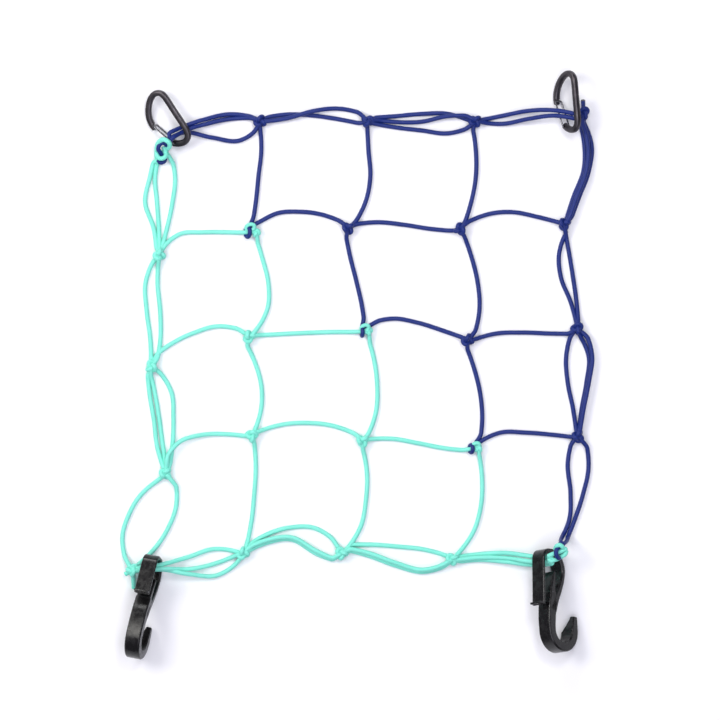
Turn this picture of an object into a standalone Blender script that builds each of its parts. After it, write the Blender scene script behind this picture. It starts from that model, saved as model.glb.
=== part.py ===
"""Elastic cord luggage net, laid out flat.

Two cords, a blue and a green one, are each tied into half of a four by four mesh and linked
with each other at the knots of one diagonal. Two snap hooks with wire gates hold the upper
corners and two moulded hooks the lower ones. X runs right, Y up the picture and Z up from the
surface, in millimetres here and in metres in the scene.
"""

import math
from collections import namedtuple

import bpy
from mathutils import Matrix, Vector

MM = 0.001
UP = Vector((0, 0, 1))

# ---- cord sizes ----
CORD_RADIUS = 2.1
CORD_SIDES = 6
CORD_REST = CORD_RADIUS * math.cos(math.pi / CORD_SIDES)
CORD_SAMPLES = 30
CORD_TOLERANCE = 0.5
RISE = 15.0
FREE_RUN = 1.6
END_PULL = 9.0
END_SPREAD = 0.9
# Height above a knot's middle at which each of the strands that meet there ends.
LANES = {"a": -1.2, "b": 1.3, "c": 0.0, "d": 0.6}
QUARTER = 0.25

# ---- one-colour knots: a lump with two slanting turns of cord wound round it ----
# One row for each section across the knot's axis: its place on the axis and its radius.
Turn = namedtuple("Turn", "along radius")
KNOT_TURNS = [
    Turn(-5.7, 1.7),
    Turn(-4.3, 4.5),
    Turn(-2.3, 5.2),
    Turn(-0.3, 3.9),
    Turn(1.9, 5.1),
    Turn(4.0, 4.3),
    Turn(5.4, 1.7),
]
KNOT_SIDES = 8
KNOT_SLANT = 1.3
KNOT_REST = 5.1

# ---- two-colour knots: an upright blue ring through a flat green one ----
LINK_PULL = 13.0
LINK_STEPS = 11
LINK_SIDES = 6
BLUE_RING = {"x": -3.0, "y": -1.4, "half_y": 3.9, "half_z": 3.6, "cord": 1.5}
MINT_RING = {"x": -2.2, "y": 2.6, "half_x": 5.4, "half_y": 3.9, "turn": 25, "cord": 1.4}
MINT_LUMP = {"x": 4.4, "y": -2.7, "turn": 55, "size": 0.8}
LINK_REST = BLUE_RING["half_z"] + BLUE_RING["cord"]
LINK_CORD_END = 1.3
# Where blue strands from above and from the side meet the foot of the blue ring.
FOOT_FROM_ABOVE = -1.0
FOOT_FROM_SIDE = 0.8

Knot = namedtuple("Knot", "x y kind turn height")
KNOTS = {
    "00": Knot(-173.0, 187.4, "link", -45, 6.6),
    "01": Knot(-86.0, 213.0, "blue", 0, KNOT_REST),
    "02": Knot(8.5, 213.0, "blue", 12, KNOT_REST),
    "03": Knot(103.0, 213.0, "blue", 0, KNOT_REST),
    "04": Knot(198.0, 220.0, "blue", 80, 11.0),
    "10": Knot(-174.5, 95.5, "mint", 60, KNOT_REST),
    "11": Knot(-94.0, 117.0, "link", 0, LINK_REST),
    "12": Knot(-8.5, 119.0, "blue", 40, KNOT_REST),
    "13": Knot(89.5, 118.0, "blue", 30, KNOT_REST),
    "14": Knot(181.5, 122.5, "blue", 45, KNOT_REST),
    "20": Knot(-181.5, -2.5, "mint", 70, KNOT_REST),
    "21": Knot(-95.5, 23.5, "mint", 50, KNOT_REST),
    "22": Knot(6.0, 28.5, "link", 0, LINK_REST),
    "23": Knot(96.5, 20.5, "blue", 45, KNOT_REST),
    "24": Knot(192.5, 31.0, "blue", 80, KNOT_REST),
    "30": Knot(-169.0, -96.5, "mint", 35, KNOT_REST),
    "31": Knot(-93.5, -63.5, "mint", 90, KNOT_REST),
    "32": Knot(4.0, -68.0, "mint", 45, KNOT_REST),
    "33": Knot(103.5, -74.5, "link", 0, LINK_REST),
    "34": Knot(193.5, -64.0, "blue", 90, KNOT_REST),
    "40": Knot(-198.0, -181.5, "mint", 30, 9.0),
    "41": Knot(-101.0, -167.0, "mint", 40, KNOT_REST),
    "42": Knot(-14.5, -167.0, "mint", 140, KNOT_REST),
    "43": Knot(83.0, -172.0, "mint", 0, KNOT_REST),
    "44": Knot(177.5, -163.0, "link", 0, 24.5),
}
LINK_SIZE = {"00": 1.12, "44": 1.1}
SHORT_PULL = {"44": 9.0}
UNDER_LEFT = {"44": (-5.6, -1.15)}
OVER_THE_RING = ("00",)

# One row for each strand between two knots: its sideways distance from the straight line
# between them at the start, quarters and end, positive to the left of travel.
Strand = namedtuple("Strand", "name start end colour at_0 at_25 at_50 at_75 at_100")
STRANDS = [
    Strand("T1a", "00", "01", "blue", 9.5, 14.2, 15.2, 13.2, 2.0),
    Strand("T1b", "00", "01", "blue", 0.5, 10.1, 11.0, 9.1, 2.5),
    Strand("T1c", "00", "01", "blue", 0.5, 9.5, -1.5, -11.0, -2.5),
    Strand("T2a", "01", "02", "blue", 2.0, 6.0, 5.0, 1.5, -3.5),
    Strand("T2b", "01", "02", "blue", -0.5, 2.5, 9.0, 11.0, 4.5),
    Strand("T3a", "02", "03", "blue", 3.0, 4.5, 6.5, 6.5, -2.0),
    Strand("T3b", "02", "03", "blue", 2.5, -0.5, -0.5, 4.5, 4.0),
    Strand("T3c", "02", "03", "blue", -1.0, -5.2, -8.0, -10.5, -3.0),
    Strand("T4a", "03", "04", "blue", 0.0, 3.0, 5.5, 3.8, -3.5),
    Strand("T4b", "03", "04", "blue", 0.5, -4.0, -1.5, -0.8, -7.9),
    Strand("L1a", "00", "10", "mint", -4.5, -9.5, -13.5, -5.5, -3.0),
    Strand("L1b", "00", "10", "mint", 0.0, -5.0, -3.0, -1.0, 0.0),
    Strand("L1c", "00", "10", "mint", 7.0, 12.5, 10.5, 6.0, 0.0),
    Strand("L2a", "10", "20", "mint", -2.0, -10.5, -8.0, -3.0, -0.5),
    Strand("L2b", "10", "20", "mint", 0.0, 0.0, 4.0, 6.0, 3.5),
    Strand("L3a", "20", "30", "mint", -4.0, -5.0, -4.2, -4.4, 0.0),
    Strand("L3b", "20", "30", "mint", -2.5, -0.3, 0.5, 0.5, 1.5),
    Strand("L3c", "20", "30", "mint", 2.0, 14.0, 13.0, 9.0, 2.5),
    Strand("L4a", "30", "40", "mint", 2.5, -13.5, -19.0, -17.5, -3.5),
    Strand("L4b", "30", "40", "mint", 8.0, 17.5, 17.5, 11.5, -1.0),
    Strand("R1a", "04", "14", "blue", -6.0, 5.0, 8.8, 4.0, 0.5),
    Strand("R1b", "04", "14", "blue", -5.0, 8.0, 11.1, 6.5, 2.5),
    Strand("R1c", "04", "14", "blue", -5.0, 11.5, 13.4, 8.6, 4.0),
    Strand("R2a", "14", "24", "blue", 6.5, -7.0, -8.5, -2.5, 0.5),
    Strand("R2b", "14", "24", "blue", -0.5, 1.0, 2.0, 2.5, 1.5),
    Strand("R3a", "24", "34", "blue", -3.0, -9.5, -8.5, -4.0, -1.0),
    Strand("R3b", "24", "34", "blue", -2.5, 10.0, 8.0, 3.5, 0.5),
    Strand("R3c", "24", "34", "blue", 5.5, 13.0, 10.0, 5.0, 1.0),
    Strand("R4a", "34", "44", "blue", -3.5, -5.0, 1.5, 4.0, -5.0),
    Strand("R4b", "34", "44", "blue", 6.0, 13.5, 12.5, 8.4, 2.5),
    Strand("B1a", "40", "41", "mint", 2.0, 1.2, 3.8, 7.5, -0.5),
    Strand("B1b", "40", "41", "mint", -1.0, -2.2, -6.5, -5.0, 1.5),
    Strand("B1c", "40", "41", "mint", -3.0, -3.0, -11.0, -15.5, -2.0),
    Strand("B2a", "41", "42", "mint", 3.5, 17.0, 23.0, 21.5, 5.0),
    Strand("B2b", "41", "42", "mint", 2.5, 12.0, 14.0, 2.0, -7.5),
    Strand("B2c", "41", "42", "mint", -0.5, 9.5, 12.0, -0.5, -7.5),
    Strand("B3a", "42", "43", "mint", 7.0, 9.0, 8.5, 7.0, 1.0),
    Strand("B3b", "42", "43", "mint", 5.5, 1.5, -6.0, -10.5, 0.0),
    Strand("B3c", "42", "43", "mint", 4.0, -1.0, -8.5, -12.5, -2.5),
    Strand("B4a", "43", "44", "mint", 1.0, 2.0, 1.0, -4.3, -7.9),
    Strand("B4b", "43", "44", "mint", -1.5, -0.8, -3.5, -8.7, -9.5),
    Strand("B4c", "43", "44", "mint", -3.5, -3.0, -7.0, -11.7, -11.0),
    Strand("C1a", "01", "11", "blue", -1.0, 3.0, 2.5, 2.0, 0.0),
    Strand("C1b", "11", "21", "mint", 2.0, 10.0, 16.0, 15.0, 1.0),
    Strand("C1c", "21", "31", "mint", -6.5, 4.0, 9.5, 8.5, 0.5),
    Strand("C1d", "31", "41", "mint", 1.5, 5.5, 6.0, 5.0, 1.0),
    Strand("C2a", "02", "12", "blue", -0.5, 5.0, 11.0, 10.5, 2.0),
    Strand("C2b", "12", "22", "blue", -3.0, -2.5, -0.5, 1.0, 0.5),
    Strand("C2c", "22", "32", "mint", 0.5, 8.5, 12.0, 11.0, 2.0),
    Strand("C2d", "32", "42", "mint", -2.0, 8.5, 12.5, 12.0, 1.0),
    Strand("C3a", "03", "13", "blue", -3.5, 4.0, 7.5, 6.5, 2.0),
    Strand("C3b", "13", "23", "blue", 1.5, 8.5, 12.5, 12.0, 4.0),
    Strand("C3c", "23", "33", "blue", -3.5, 3.5, 7.5, 7.5, 2.5),
    Strand("C3d", "33", "43", "mint", 2.0, 11.0, 15.0, 12.5, 0.0),
    Strand("W1a", "10", "11", "mint", 1.5, 13.0, 9.5, 4.0, -2.5),
    Strand("W1b", "11", "12", "blue", 1.0, 14.0, 15.5, 12.0, 2.5),
    Strand("W1c", "12", "13", "blue", 2.0, 5.5, 3.5, 0.0, -1.5),
    Strand("W1d", "13", "14", "blue", 2.0, 11.5, 13.0, 7.5, 0.0),
    Strand("W2a", "20", "21", "mint", 5.5, 14.0, 17.5, 16.5, 4.0),
    Strand("W2b", "21", "22", "mint", 1.0, 1.0, 1.0, 0.5, -1.0),
    Strand("W2c", "22", "23", "blue", 5.0, 13.0, 11.5, 6.5, 0.5),
    Strand("W2d", "23", "24", "blue", -2.0, 3.0, 1.5, -2.0, -5.0),
    Strand("W3a", "30", "31", "mint", 7.0, 20.0, 18.5, 10.5, -1.5),
    Strand("W3b", "31", "32", "mint", 1.0, 10.5, 13.5, 11.5, 2.5),
    Strand("W3c", "32", "33", "mint", 0.5, 3.5, 1.0, -2.0, -2.0),
    Strand("W3d", "33", "34", "blue", 2.5, 11.0, 8.5, 4.0, -1.5),
]

# One row for each place where a strand is held off the surface: by the strand under it, by a
# gate that it runs over or by a hook's eye. Millimetres from its first knot, and axis height.
Lift = namedtuple("Lift", "strand along height")
LIFTS = [
    Lift("T1a", 9.0, 13.6),
    Lift("T1a", 14.0, 13.2),
    Lift("T1a", 21.5, 8.6),
    Lift("T1a", 28.0, 8.4),
    Lift("T1b", 9.0, 17.4),
    Lift("T1b", 13.0, 16.8),
    Lift("T1b", 22.0, 8.8),
    Lift("T1b", 31.0, 8.6),
    Lift("T1b", 40.0, 6.1),
    Lift("T1c", 9.0, 13.4),
    Lift("T1c", 13.0, 12.8),
    Lift("T1c", 22.0, 4.8),
    Lift("T1c", 31.0, 4.4),
    Lift("T2b", 14.0, 6.1),
    Lift("T2b", 44.0, 6.1),
    Lift("T3b", 64.0, 6.1),
    Lift("T3b", 80.0, 6.4),
    Lift("T4a", 72.0, 14.6),
    Lift("T4a", 88.0, 16.9),
    Lift("T4b", 72.0, 14.6),
    Lift("T4b", 88.0, 16.9),
    Lift("R1b", 20.0, 6.6),
    Lift("R1b", 82.0, 6.1),
    Lift("R3c", 14.0, 6.1),
    Lift("R3c", 80.0, 6.1),
    Lift("W3a", 5.0, 7.4),
    Lift("W3a", 13.0, 6.4),
    Lift("L4b", 80.0, CORD_REST),
    Lift("B1a", 13.0, 12.4),
    Lift("B1a", 24.0, 14.6),
    Lift("B1a", 46.0, 4.0),
    Lift("B1b", 14.0, 16.4),
    Lift("B1b", 27.0, 16.2),
    Lift("B1b", 46.0, 6.1),
    Lift("B1c", 14.0, 12.3),
    Lift("B1c", 26.0, 12.2),
    Lift("B2b", 14.0, 6.1),
    Lift("B2b", 74.0, 6.1),
    Lift("B3b", 16.0, 6.1),
    Lift("B3b", 84.0, 6.1),
    Lift("R4a", 70.0, CORD_REST),
    Lift("R4b", 68.0, CORD_REST),
    Lift("B4a", 66.0, 9.0),
    Lift("B4a", 80.0, 17.0),
    Lift("B4a", 88.0, 22.5),
    Lift("B4b", 14.0, 6.1),
    Lift("B4b", 48.0, 6.1),
    Lift("B4b", 66.0, 12.0),
    Lift("B4b", 80.0, 19.0),
    Lift("B4b", 88.0, 23.5),
    Lift("B4c", 66.0, 7.0),
    Lift("B4c", 80.0, 14.5),
    Lift("B4c", 88.0, 20.5),
]

# One row for each short cord end that leaves a knot: its knot and where its cut end lies.
Tail = namedtuple("Tail", "knot x y height")
TAILS = [
    Tail("04", 197.7, 231.4, 8.0),
    Tail("40", -197.1, -197.6, 2.4),
    Tail("40", -204.5, -185.2, 7.0),
]

# ---- snap hooks: a bar bent flat, in its own plane ----
BAR_RADIUS = 2.65
BAR_SIDES = 8
BAR_STEPS = 2
BAR_END = 1.0
BAR_END_SIZE = 0.62
WIRE_RADIUS = 0.8
WIRE_SIDES = 6
PIVOT_HOLE = 1.25
PIN_SIDES = 10
GATE_HALF = 3.6
GATE_CORNER = 0.9
END_HALF = 2.3
END_WIDE = 2.9
END_BENDS = 2
NOSE_WIDTH = 25.2

# One row for each bend of the bar: across from the spine, up from the lower end.
Bend = namedtuple("Bend", "across up")
BAR = [
    Bend(17.5, 4.65),
    Bend(13.5, 1.7),
    Bend(7.5, 0.0),
    Bend(2.4, 2.4),
    Bend(0.2, 8.0),
    Bend(0.0, 16.0),
    Bend(0.0, 30.0),
    Bend(0.0, 42.0),
    Bend(1.8, 47.2),
    Bend(6.5, 49.6),
    Bend(13.0, 47.8),
    Bend(19.5, 42.2),
    Bend(23.6, 35.8),
    Bend(NOSE_WIDTH, 29.5),
    Bend(24.8, 24.6),
]
PIVOT = Bend(16.2, 3.75)
GATE_TIP = Bend(23.2, 26.6)
NOTCH = {"across": 24.5, "low": 22.0, "high": 28.4}
CUT_REACH = 6.0

Snap = namedtuple("Snap", "side x y heading tilt nose_height")
SNAPS = [
    Snap("left", -146.2, 198.6, 123.3, 25.0, 3.35),
    Snap("right", 193.4, 205.45, 95.2, 50.0, BAR_RADIUS),
]

# ---- moulded hooks: a band bent in its own plane, of one width ----
BAND_WIDTH = 13.6
BAND_CHAMFER = 0.9
HOOK_PITCH = 0.32
HOOK_SINK = 0.4
FLOOR_BLOCK = 70.0
# One row for each section of the band: depth from the tongue's face, drop from the top, its
# thickness and how much narrower it is on the near and far side.
Section = namedtuple("Section", "depth drop thick near far", defaults=(0.0, 0.0))
LOOP_AND_BACK = [
    Section(1.3, 26.0, 2.6),
    Section(1.3, 9.5, 2.8),
    Section(2.6, 5.0, 3.0),
    Section(6.0, 2.2, 3.2),
    Section(11.0, 1.7, 3.4),
    Section(17.5, 1.9, 3.4),
    Section(22.0, 4.6, 3.8),
    Section(25.6, 10.2, 4.2),
    Section(27.6, 17.5, 4.6),
    Section(26.0, 26.5, 5.0),
    Section(22.4, 35.5, 5.6),
    Section(17.5, 45.0, 7.0),
    Section(13.5, 54.0, 9.4),
]
SPUR = [
    Section(16.0, 19.8, 2.2, 0.5, 0.5),
    Section(14.8, 27.0, 4.2, 0.5, 0.5),
    Section(13.6, 38.0, 7.0, 0.5, 0.5),
    Section(13.2, 50.0, 10.2, 0.5, 0.5),
]
# The tongue and its lip: drops are counted from the tongue's end.
TONGUE = [Section(1.3, 0.0, 2.4), Section(1.3, -4.4, 2.6)]
LIP = [
    Section(-3.0, -1.0, 1.8, 0.3, 0.3),
    Section(0.0, -1.4, 2.2, 0.3, 0.3),
    Section(2.2, -1.8, 2.8, 0.3, 0.3),
]
SHANK = [Section(13.1, 47.0, 10.6), Section(12.4, 56.0, 9.8), Section(12.2, 64.0, 9.0)]
CROOK_DEPTH = 27.5
CROOK_DROP = 70.0
CROOK_STEPS = 9
CROOK_RADIUS = 15.0
CROOK_THICK = 8.4
CROOK_TIP = [
    Section(42.7, 67.0, 8.2, 0.1, 1.6),
    Section(43.3, 62.6, 7.0, 0.4, 4.4),
    Section(43.8, 58.2, 5.2, 0.8, 7.4),
    Section(43.9, 56.6, 3.2, 1.8, 8.4),
]

Hook = namedtuple("Hook", "side x y roll yaw tongue_end")
HOOKS = [
    Hook("left", -174.1, -166.6, 77.0, -14.0, 37.5),
    Hook("right", 162.5, -160.4, 48.0, 0.0, 50.5),
]

# The middle of the whole net, which the scene's origin lies under.
CENTRE = Vector((-0.7, -1.05, 0))

Finish = namedtuple("Finish", "colour roughness metallic")
FINISHES = {
    "blue": Finish((0.035, 0.065, 0.36), 0.7, 0.0),
    "mint": Finish((0.28, 0.86, 0.72), 0.7, 0.0),
    "bar": Finish((0.032, 0.03, 0.033), 0.35, 1.0),
    "wire": Finish((0.55, 0.55, 0.55), 0.3, 1.0),
    "hook": Finish((0.012, 0.012, 0.013), 0.3, 0.0),
}


def clear_scene():
    """Remove every object, so that only this part is built."""
    for obj in list(bpy.data.objects):
        bpy.data.objects.remove(obj, do_unlink=True)


def finish_material(name):
    """A plain surface with the colour, roughness and metal of one finish."""
    finish = FINISHES[name]
    material = bpy.data.materials.new(name)
    material.use_nodes = True
    shader = material.node_tree.nodes["Principled BSDF"]
    shader.inputs["Base Color"].default_value = (*finish.colour, 1)
    shader.inputs["Roughness"].default_value = finish.roughness
    shader.inputs["Metallic"].default_value = finish.metallic
    return material


def ease(t):
    """Smooth step from 0 to 1."""
    t = min(max(t, 0.0), 1.0)
    return t * t * (3 - 2 * t)


def mesh_object(name, rings, closed, collection):
    """Skin rings of points, each as long as the next, into one closed mesh object in metres."""
    sides = len(rings[0])
    points = [tuple((p - CENTRE) * MM) for ring in rings for p in ring]
    faces = []
    spans = len(rings) if closed else len(rings) - 1
    for i in range(spans):
        a = i * sides
        b = (i + 1) % len(rings) * sides
        for k in range(sides):
            n = (k + 1) % sides
            faces.append((a + k, b + k, b + n, a + n))
    if not closed:
        faces.append(tuple(range(sides)))
        last = (len(rings) - 1) * sides
        faces.append(tuple(reversed(range(last, last + sides))))
    mesh = bpy.data.meshes.new(name)
    mesh.from_pydata(points, [], faces)
    mesh.update()
    obj = bpy.data.objects.new(name, mesh)
    collection.objects.link(obj)
    return obj


def tube_rings(path, radii, sides, reference, closed=False):
    """Rings round a path. A radius is a number, or one along the reference and one across it."""
    rings = []
    count = len(path)
    for i, centre in enumerate(path):
        before = path[i - 1] if closed or i else centre
        after = path[(i + 1) % count] if closed or i < count - 1 else centre
        along = (after - before).normalized()
        across = along.cross(reference).normalized()
        upward = across.cross(along)
        radius = radii[i]
        wide, high = radius if isinstance(radius, tuple) else (radius, radius)
        ring = []
        for k in range(sides):
            angle = 2 * math.pi * k / sides
            ring.append(centre + across * (math.cos(angle) * wide) + upward * (math.sin(angle) * high))
        rings.append(ring)
    return rings


def flat(knot):
    """A knot's place on the surface."""
    return Vector((knot.x, knot.y, 0))


def link_point(name, x, y, z=0.0):
    """A place in a two-colour knot, from its own axes to the scene's."""
    knot = KNOTS[name]
    size = LINK_SIZE.get(name, 1)
    turned = Matrix.Rotation(math.radians(knot.turn), 3, "Z") @ Vector((x, y, 0)) * size
    return Vector((knot.x + turned.x, knot.y + turned.y, knot.height + z * size))


def link_landing(strand, name):
    """Where a strand's end meets its own colour in a two-colour knot."""
    other = KNOTS[strand.end if name == strand.start else strand.start]
    away = Matrix.Rotation(-math.radians(KNOTS[name].turn), 3, "Z") @ (flat(other) - flat(KNOTS[name]))
    if strand.colour == "blue":
        if name in OVER_THE_RING:
            return link_point(name, BLUE_RING["x"], BLUE_RING["y"], BLUE_RING["half_z"])
        foot = FOOT_FROM_ABOVE if away.y > abs(away.x) else FOOT_FROM_SIDE
        return link_point(name, BLUE_RING["x"], foot, -BLUE_RING["half_z"])
    if name in UNDER_LEFT:
        return link_point(name, *UNDER_LEFT[name])
    if away.x < -abs(away.y):
        turn = math.radians(MINT_RING["turn"])
        across = MINT_RING["x"] - MINT_RING["half_x"] * math.cos(turn)
        return link_point(name, across, MINT_RING["y"] - MINT_RING["half_x"] * math.sin(turn))
    return link_point(name, MINT_LUMP["x"], MINT_LUMP["y"])


def strand_height(strand, length, along, ends):
    """Height of a strand's axis: at rest on the surface, raised at its knots and lifts."""
    keys = [(0.0, ends[0]), (length, ends[1])]
    lifts = [(lift.along, lift.height) for lift in LIFTS if lift.strand == strand.name]
    keys += lifts
    first = min([a for a, _ in lifts], default=length)
    last = max([a for a, _ in lifts], default=0.0)
    if first > RISE * FREE_RUN:
        keys.append((RISE, CORD_REST))
    if last < length - RISE * FREE_RUN:
        keys.append((max(length - RISE, last + RISE), CORD_REST))
    keys.sort()
    for (a, low), (b, high) in zip(keys, keys[1:]):
        if along <= b:
            return low + (high - low) * ease((along - a) / (b - a))
    return keys[-1][1]


def thinned(points, first, last):
    """The fewest of these points, as indices, whose line stays within the cord's tolerance."""
    line = (points[last] - points[first]).normalized()
    worst = 0.0
    split = None
    for i in range(first + 1, last):
        apart = points[i] - points[first]
        distance = (apart - line * apart.dot(line)).length
        if distance > worst:
            worst = distance
            split = i
    if worst <= CORD_TOLERANCE:
        return [first, last]
    return thinned(points, first, split)[:-1] + thinned(points, split, last)


def strand_shape(strand):
    """Points and radii along a strand, from one knot to the other."""
    start = KNOTS[strand.start]
    end = KNOTS[strand.end]
    chord = flat(end) - flat(start)
    length = chord.length
    left = UP.cross(chord).normalized()
    offsets = (strand.at_0, strand.at_25, strand.at_50, strand.at_75, strand.at_100)
    slopes = [(offsets[i + 1] - offsets[i - 1]) / (2 * QUARTER) for i in (1, 2, 3)]
    slopes.insert(0, 2 * (offsets[1] - offsets[0]) / QUARTER - slopes[0])
    slopes.append(2 * (offsets[4] - offsets[3]) / QUARTER - slopes[3])

    def sideways(t):
        i = min(int(t / QUARTER), 3)
        u = t / QUARTER - i
        return (
            offsets[i] * (1 + 2 * u) * (1 - u) ** 2
            + slopes[i] * QUARTER * u * (1 - u) ** 2
            + offsets[i + 1] * u * u * (3 - 2 * u)
            + slopes[i + 1] * QUARTER * u * u * (u - 1)
        )

    landings = []
    for name, knot, offset, base in (
        (strand.start, start, strand.at_0, flat(start)),
        (strand.end, end, strand.at_100, flat(end)),
    ):
        if knot.kind == "link":
            landings.append(link_landing(strand, name))
        else:
            kept = min(max(offset, -END_SPREAD), END_SPREAD)
            place = base + left * kept
            landings.append(Vector((place.x, place.y, knot.height + LANES[strand.name[-1]])))
    points = []
    radii = []
    for sample in range(CORD_SAMPLES + 1):
        t = sample / CORD_SAMPLES
        point = flat(start) + chord * t + left * sideways(t)
        for landing, near, base, offset, name in (
            (landings[0], t * length, flat(start), strand.at_0, strand.start),
            (landings[1], (1 - t) * length, flat(end), strand.at_100, strand.end),
        ):
            linked = KNOTS[name].kind == "link"
            reach = SHORT_PULL.get(name, LINK_PULL) if linked else END_PULL
            shift = landing - (base + left * offset)
            point += Vector((shift.x, shift.y, 0)) * ease(1 - near / reach)
        point.z = strand_height(strand, length, t * length, (landings[0].z, landings[1].z))
        radius = CORD_RADIUS
        for near, knot in ((t * length, start), ((1 - t) * length, end)):
            if knot.kind == "link":
                radius += (LINK_CORD_END - CORD_RADIUS) * ease(1 - near / LINK_PULL)
        points.append(point)
        radii.append(radius)
    kept = thinned(points, 0, CORD_SAMPLES)
    return [points[i] for i in kept], [radii[i] for i in kept]


def knot_rings(centre, turn, size):
    """Rings of a knot's wound lump, its axis level and turned from the X axis."""
    axis = Vector((math.cos(math.radians(turn)), math.sin(math.radians(turn)), 0))
    side = UP.cross(axis)
    rings = []
    for row in KNOT_TURNS:
        slant = KNOT_SLANT * row.radius / KNOT_REST
        ring = []
        for k in range(KNOT_SIDES):
            angle = 2 * math.pi * (k + 0.5) / KNOT_SIDES
            out = (side * math.cos(angle) - UP * math.sin(angle)) * row.radius
            ring.append(centre + (out + axis * (row.along + slant * math.cos(angle))) * size)
        rings.append(ring)
    return rings


def ring_path(centre, first, second, steps):
    """A closed loop round a centre, from its two half axes."""
    return [
        centre + first * math.cos(2 * math.pi * k / steps) + second * math.sin(2 * math.pi * k / steps)
        for k in range(steps)
    ]


def helper_collection(name):
    """A collection for the pieces that a Boolean joins."""
    collection = bpy.data.collections.new(name)
    bpy.context.scene.collection.children.link(collection)
    return collection


def add_boolean(obj, operation, helpers):
    """Join every object of a collection to this one, or cut them all from it."""
    modifier = obj.modifiers.new(operation.lower(), "BOOLEAN")
    modifier.operation = operation
    modifier.solver = "EXACT"
    modifier.operand_type = "COLLECTION"
    modifier.collection = helpers


def hide_helper(obj):
    """Keep a Boolean's operand out of the renders and drawn as wires."""
    obj.hide_render = True
    obj.display_type = "WIRE"


def link_ring(name, colour, helpers):
    """One colour's ring of a two-colour knot, as a piece to join."""
    ring = BLUE_RING if colour == "blue" else MINT_RING
    size = LINK_SIZE.get(name, 1)
    if colour == "blue":
        halves = (Vector((0, ring["half_y"], 0)), UP * ring["half_z"])
    else:
        level = Matrix.Rotation(math.radians(ring["turn"]), 3, "Z")
        halves = (level @ Vector((ring["half_x"], 0, 0)), level @ Vector((0, ring["half_y"], 0)))
    turned = Matrix.Rotation(math.radians(KNOTS[name].turn), 3, "Z") * size
    halves = [turned @ half for half in halves]
    path = ring_path(link_point(name, ring["x"], ring["y"]), halves[0], halves[1], LINK_STEPS)
    reference = halves[0].cross(halves[1]).normalized()
    rings = tube_rings(path, [ring["cord"] * size] * LINK_STEPS, LINK_SIDES, reference, closed=True)
    hide_helper(mesh_object("ring_" + colour + name, rings, True, helpers))


def net_half(colour):
    """One colour's strands, coils and rings, joined into one solid."""
    helpers = helper_collection("cords_" + colour)
    whole = None
    for strand in STRANDS:
        if strand.colour != colour:
            continue
        points, radii = strand_shape(strand)
        rings = tube_rings(points, radii, CORD_SIDES, UP)
        if whole is None:
            whole = mesh_object("net_" + colour, rings, False, bpy.context.scene.collection)
        else:
            hide_helper(mesh_object("strand_" + strand.name, rings, False, helpers))
    for number, tail in enumerate(TAILS):
        knot = KNOTS[tail.knot]
        if knot.kind == colour:
            path = [Vector((knot.x, knot.y, knot.height)), Vector((tail.x, tail.y, tail.height))]
            rings = tube_rings(path, [CORD_RADIUS] * len(path), CORD_SIDES, UP)
            hide_helper(mesh_object(f"tail_{number}", rings, False, helpers))
    for name, knot in KNOTS.items():
        if knot.kind == colour:
            rings = knot_rings(Vector((knot.x, knot.y, knot.height)), knot.turn, 1.0)
            hide_helper(mesh_object("knot_" + name, rings, False, helpers))
        elif knot.kind == "link":
            link_ring(name, colour, helpers)
            if colour == "mint":
                place = link_point(name, MINT_LUMP["x"], MINT_LUMP["y"])
                size = LINK_SIZE.get(name, 1) * MINT_LUMP["size"]
                rings = knot_rings(place, knot.turn + MINT_LUMP["turn"], size)
                hide_helper(mesh_object("knot_" + name, rings, False, helpers))
    add_boolean(whole, "UNION", helpers)
    whole.data.materials.append(finish_material(colour))
    return whole


def box_rings(corner, first, second, third):
    """The two end rings of a block with this corner and these three edges, right-handed."""
    ends = []
    for step in (Vector(), third):
        base = corner + step
        ends.append([base, base + second, base + first + second, base + first])
    return ends


def snap_axes(snap):
    """A snap hook's own directions: up the spine, across to the nose and square to both."""
    turn = math.radians(snap.heading)
    tilt = math.radians(snap.tilt)
    up = Vector((math.cos(turn), math.sin(turn), 0))
    level = UP.cross(up)
    across = level * math.cos(tilt) - UP * math.sin(tilt)
    return up, across, up.cross(across)


def snap_point(snap, across, up, off=0.0):
    """A place in a snap hook, from its own axes to the scene's."""
    axes = snap_axes(snap)
    base = Vector((snap.x, snap.y, snap.nose_height + NOSE_WIDTH * math.sin(math.radians(snap.tilt))))
    return base + axes[0] * up + axes[1] * across + axes[2] * off


def smooth(points, steps):
    """A curve through points, with this many pieces between each two."""
    path = []
    last = len(points) - 1
    for i in range(last):
        a, b, c, d = points[max(i - 1, 0)], points[i], points[i + 1], points[min(i + 2, last)]
        for step in range(steps):
            t = step / steps
            path.append(
                (b * 2 + (c - a) * t + (a * 2 - b * 5 + c * 4 - d) * t**2 + (b * 3 - a - c * 3 + d) * t**3) / 2
            )
    return path + [points[last]]


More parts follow.
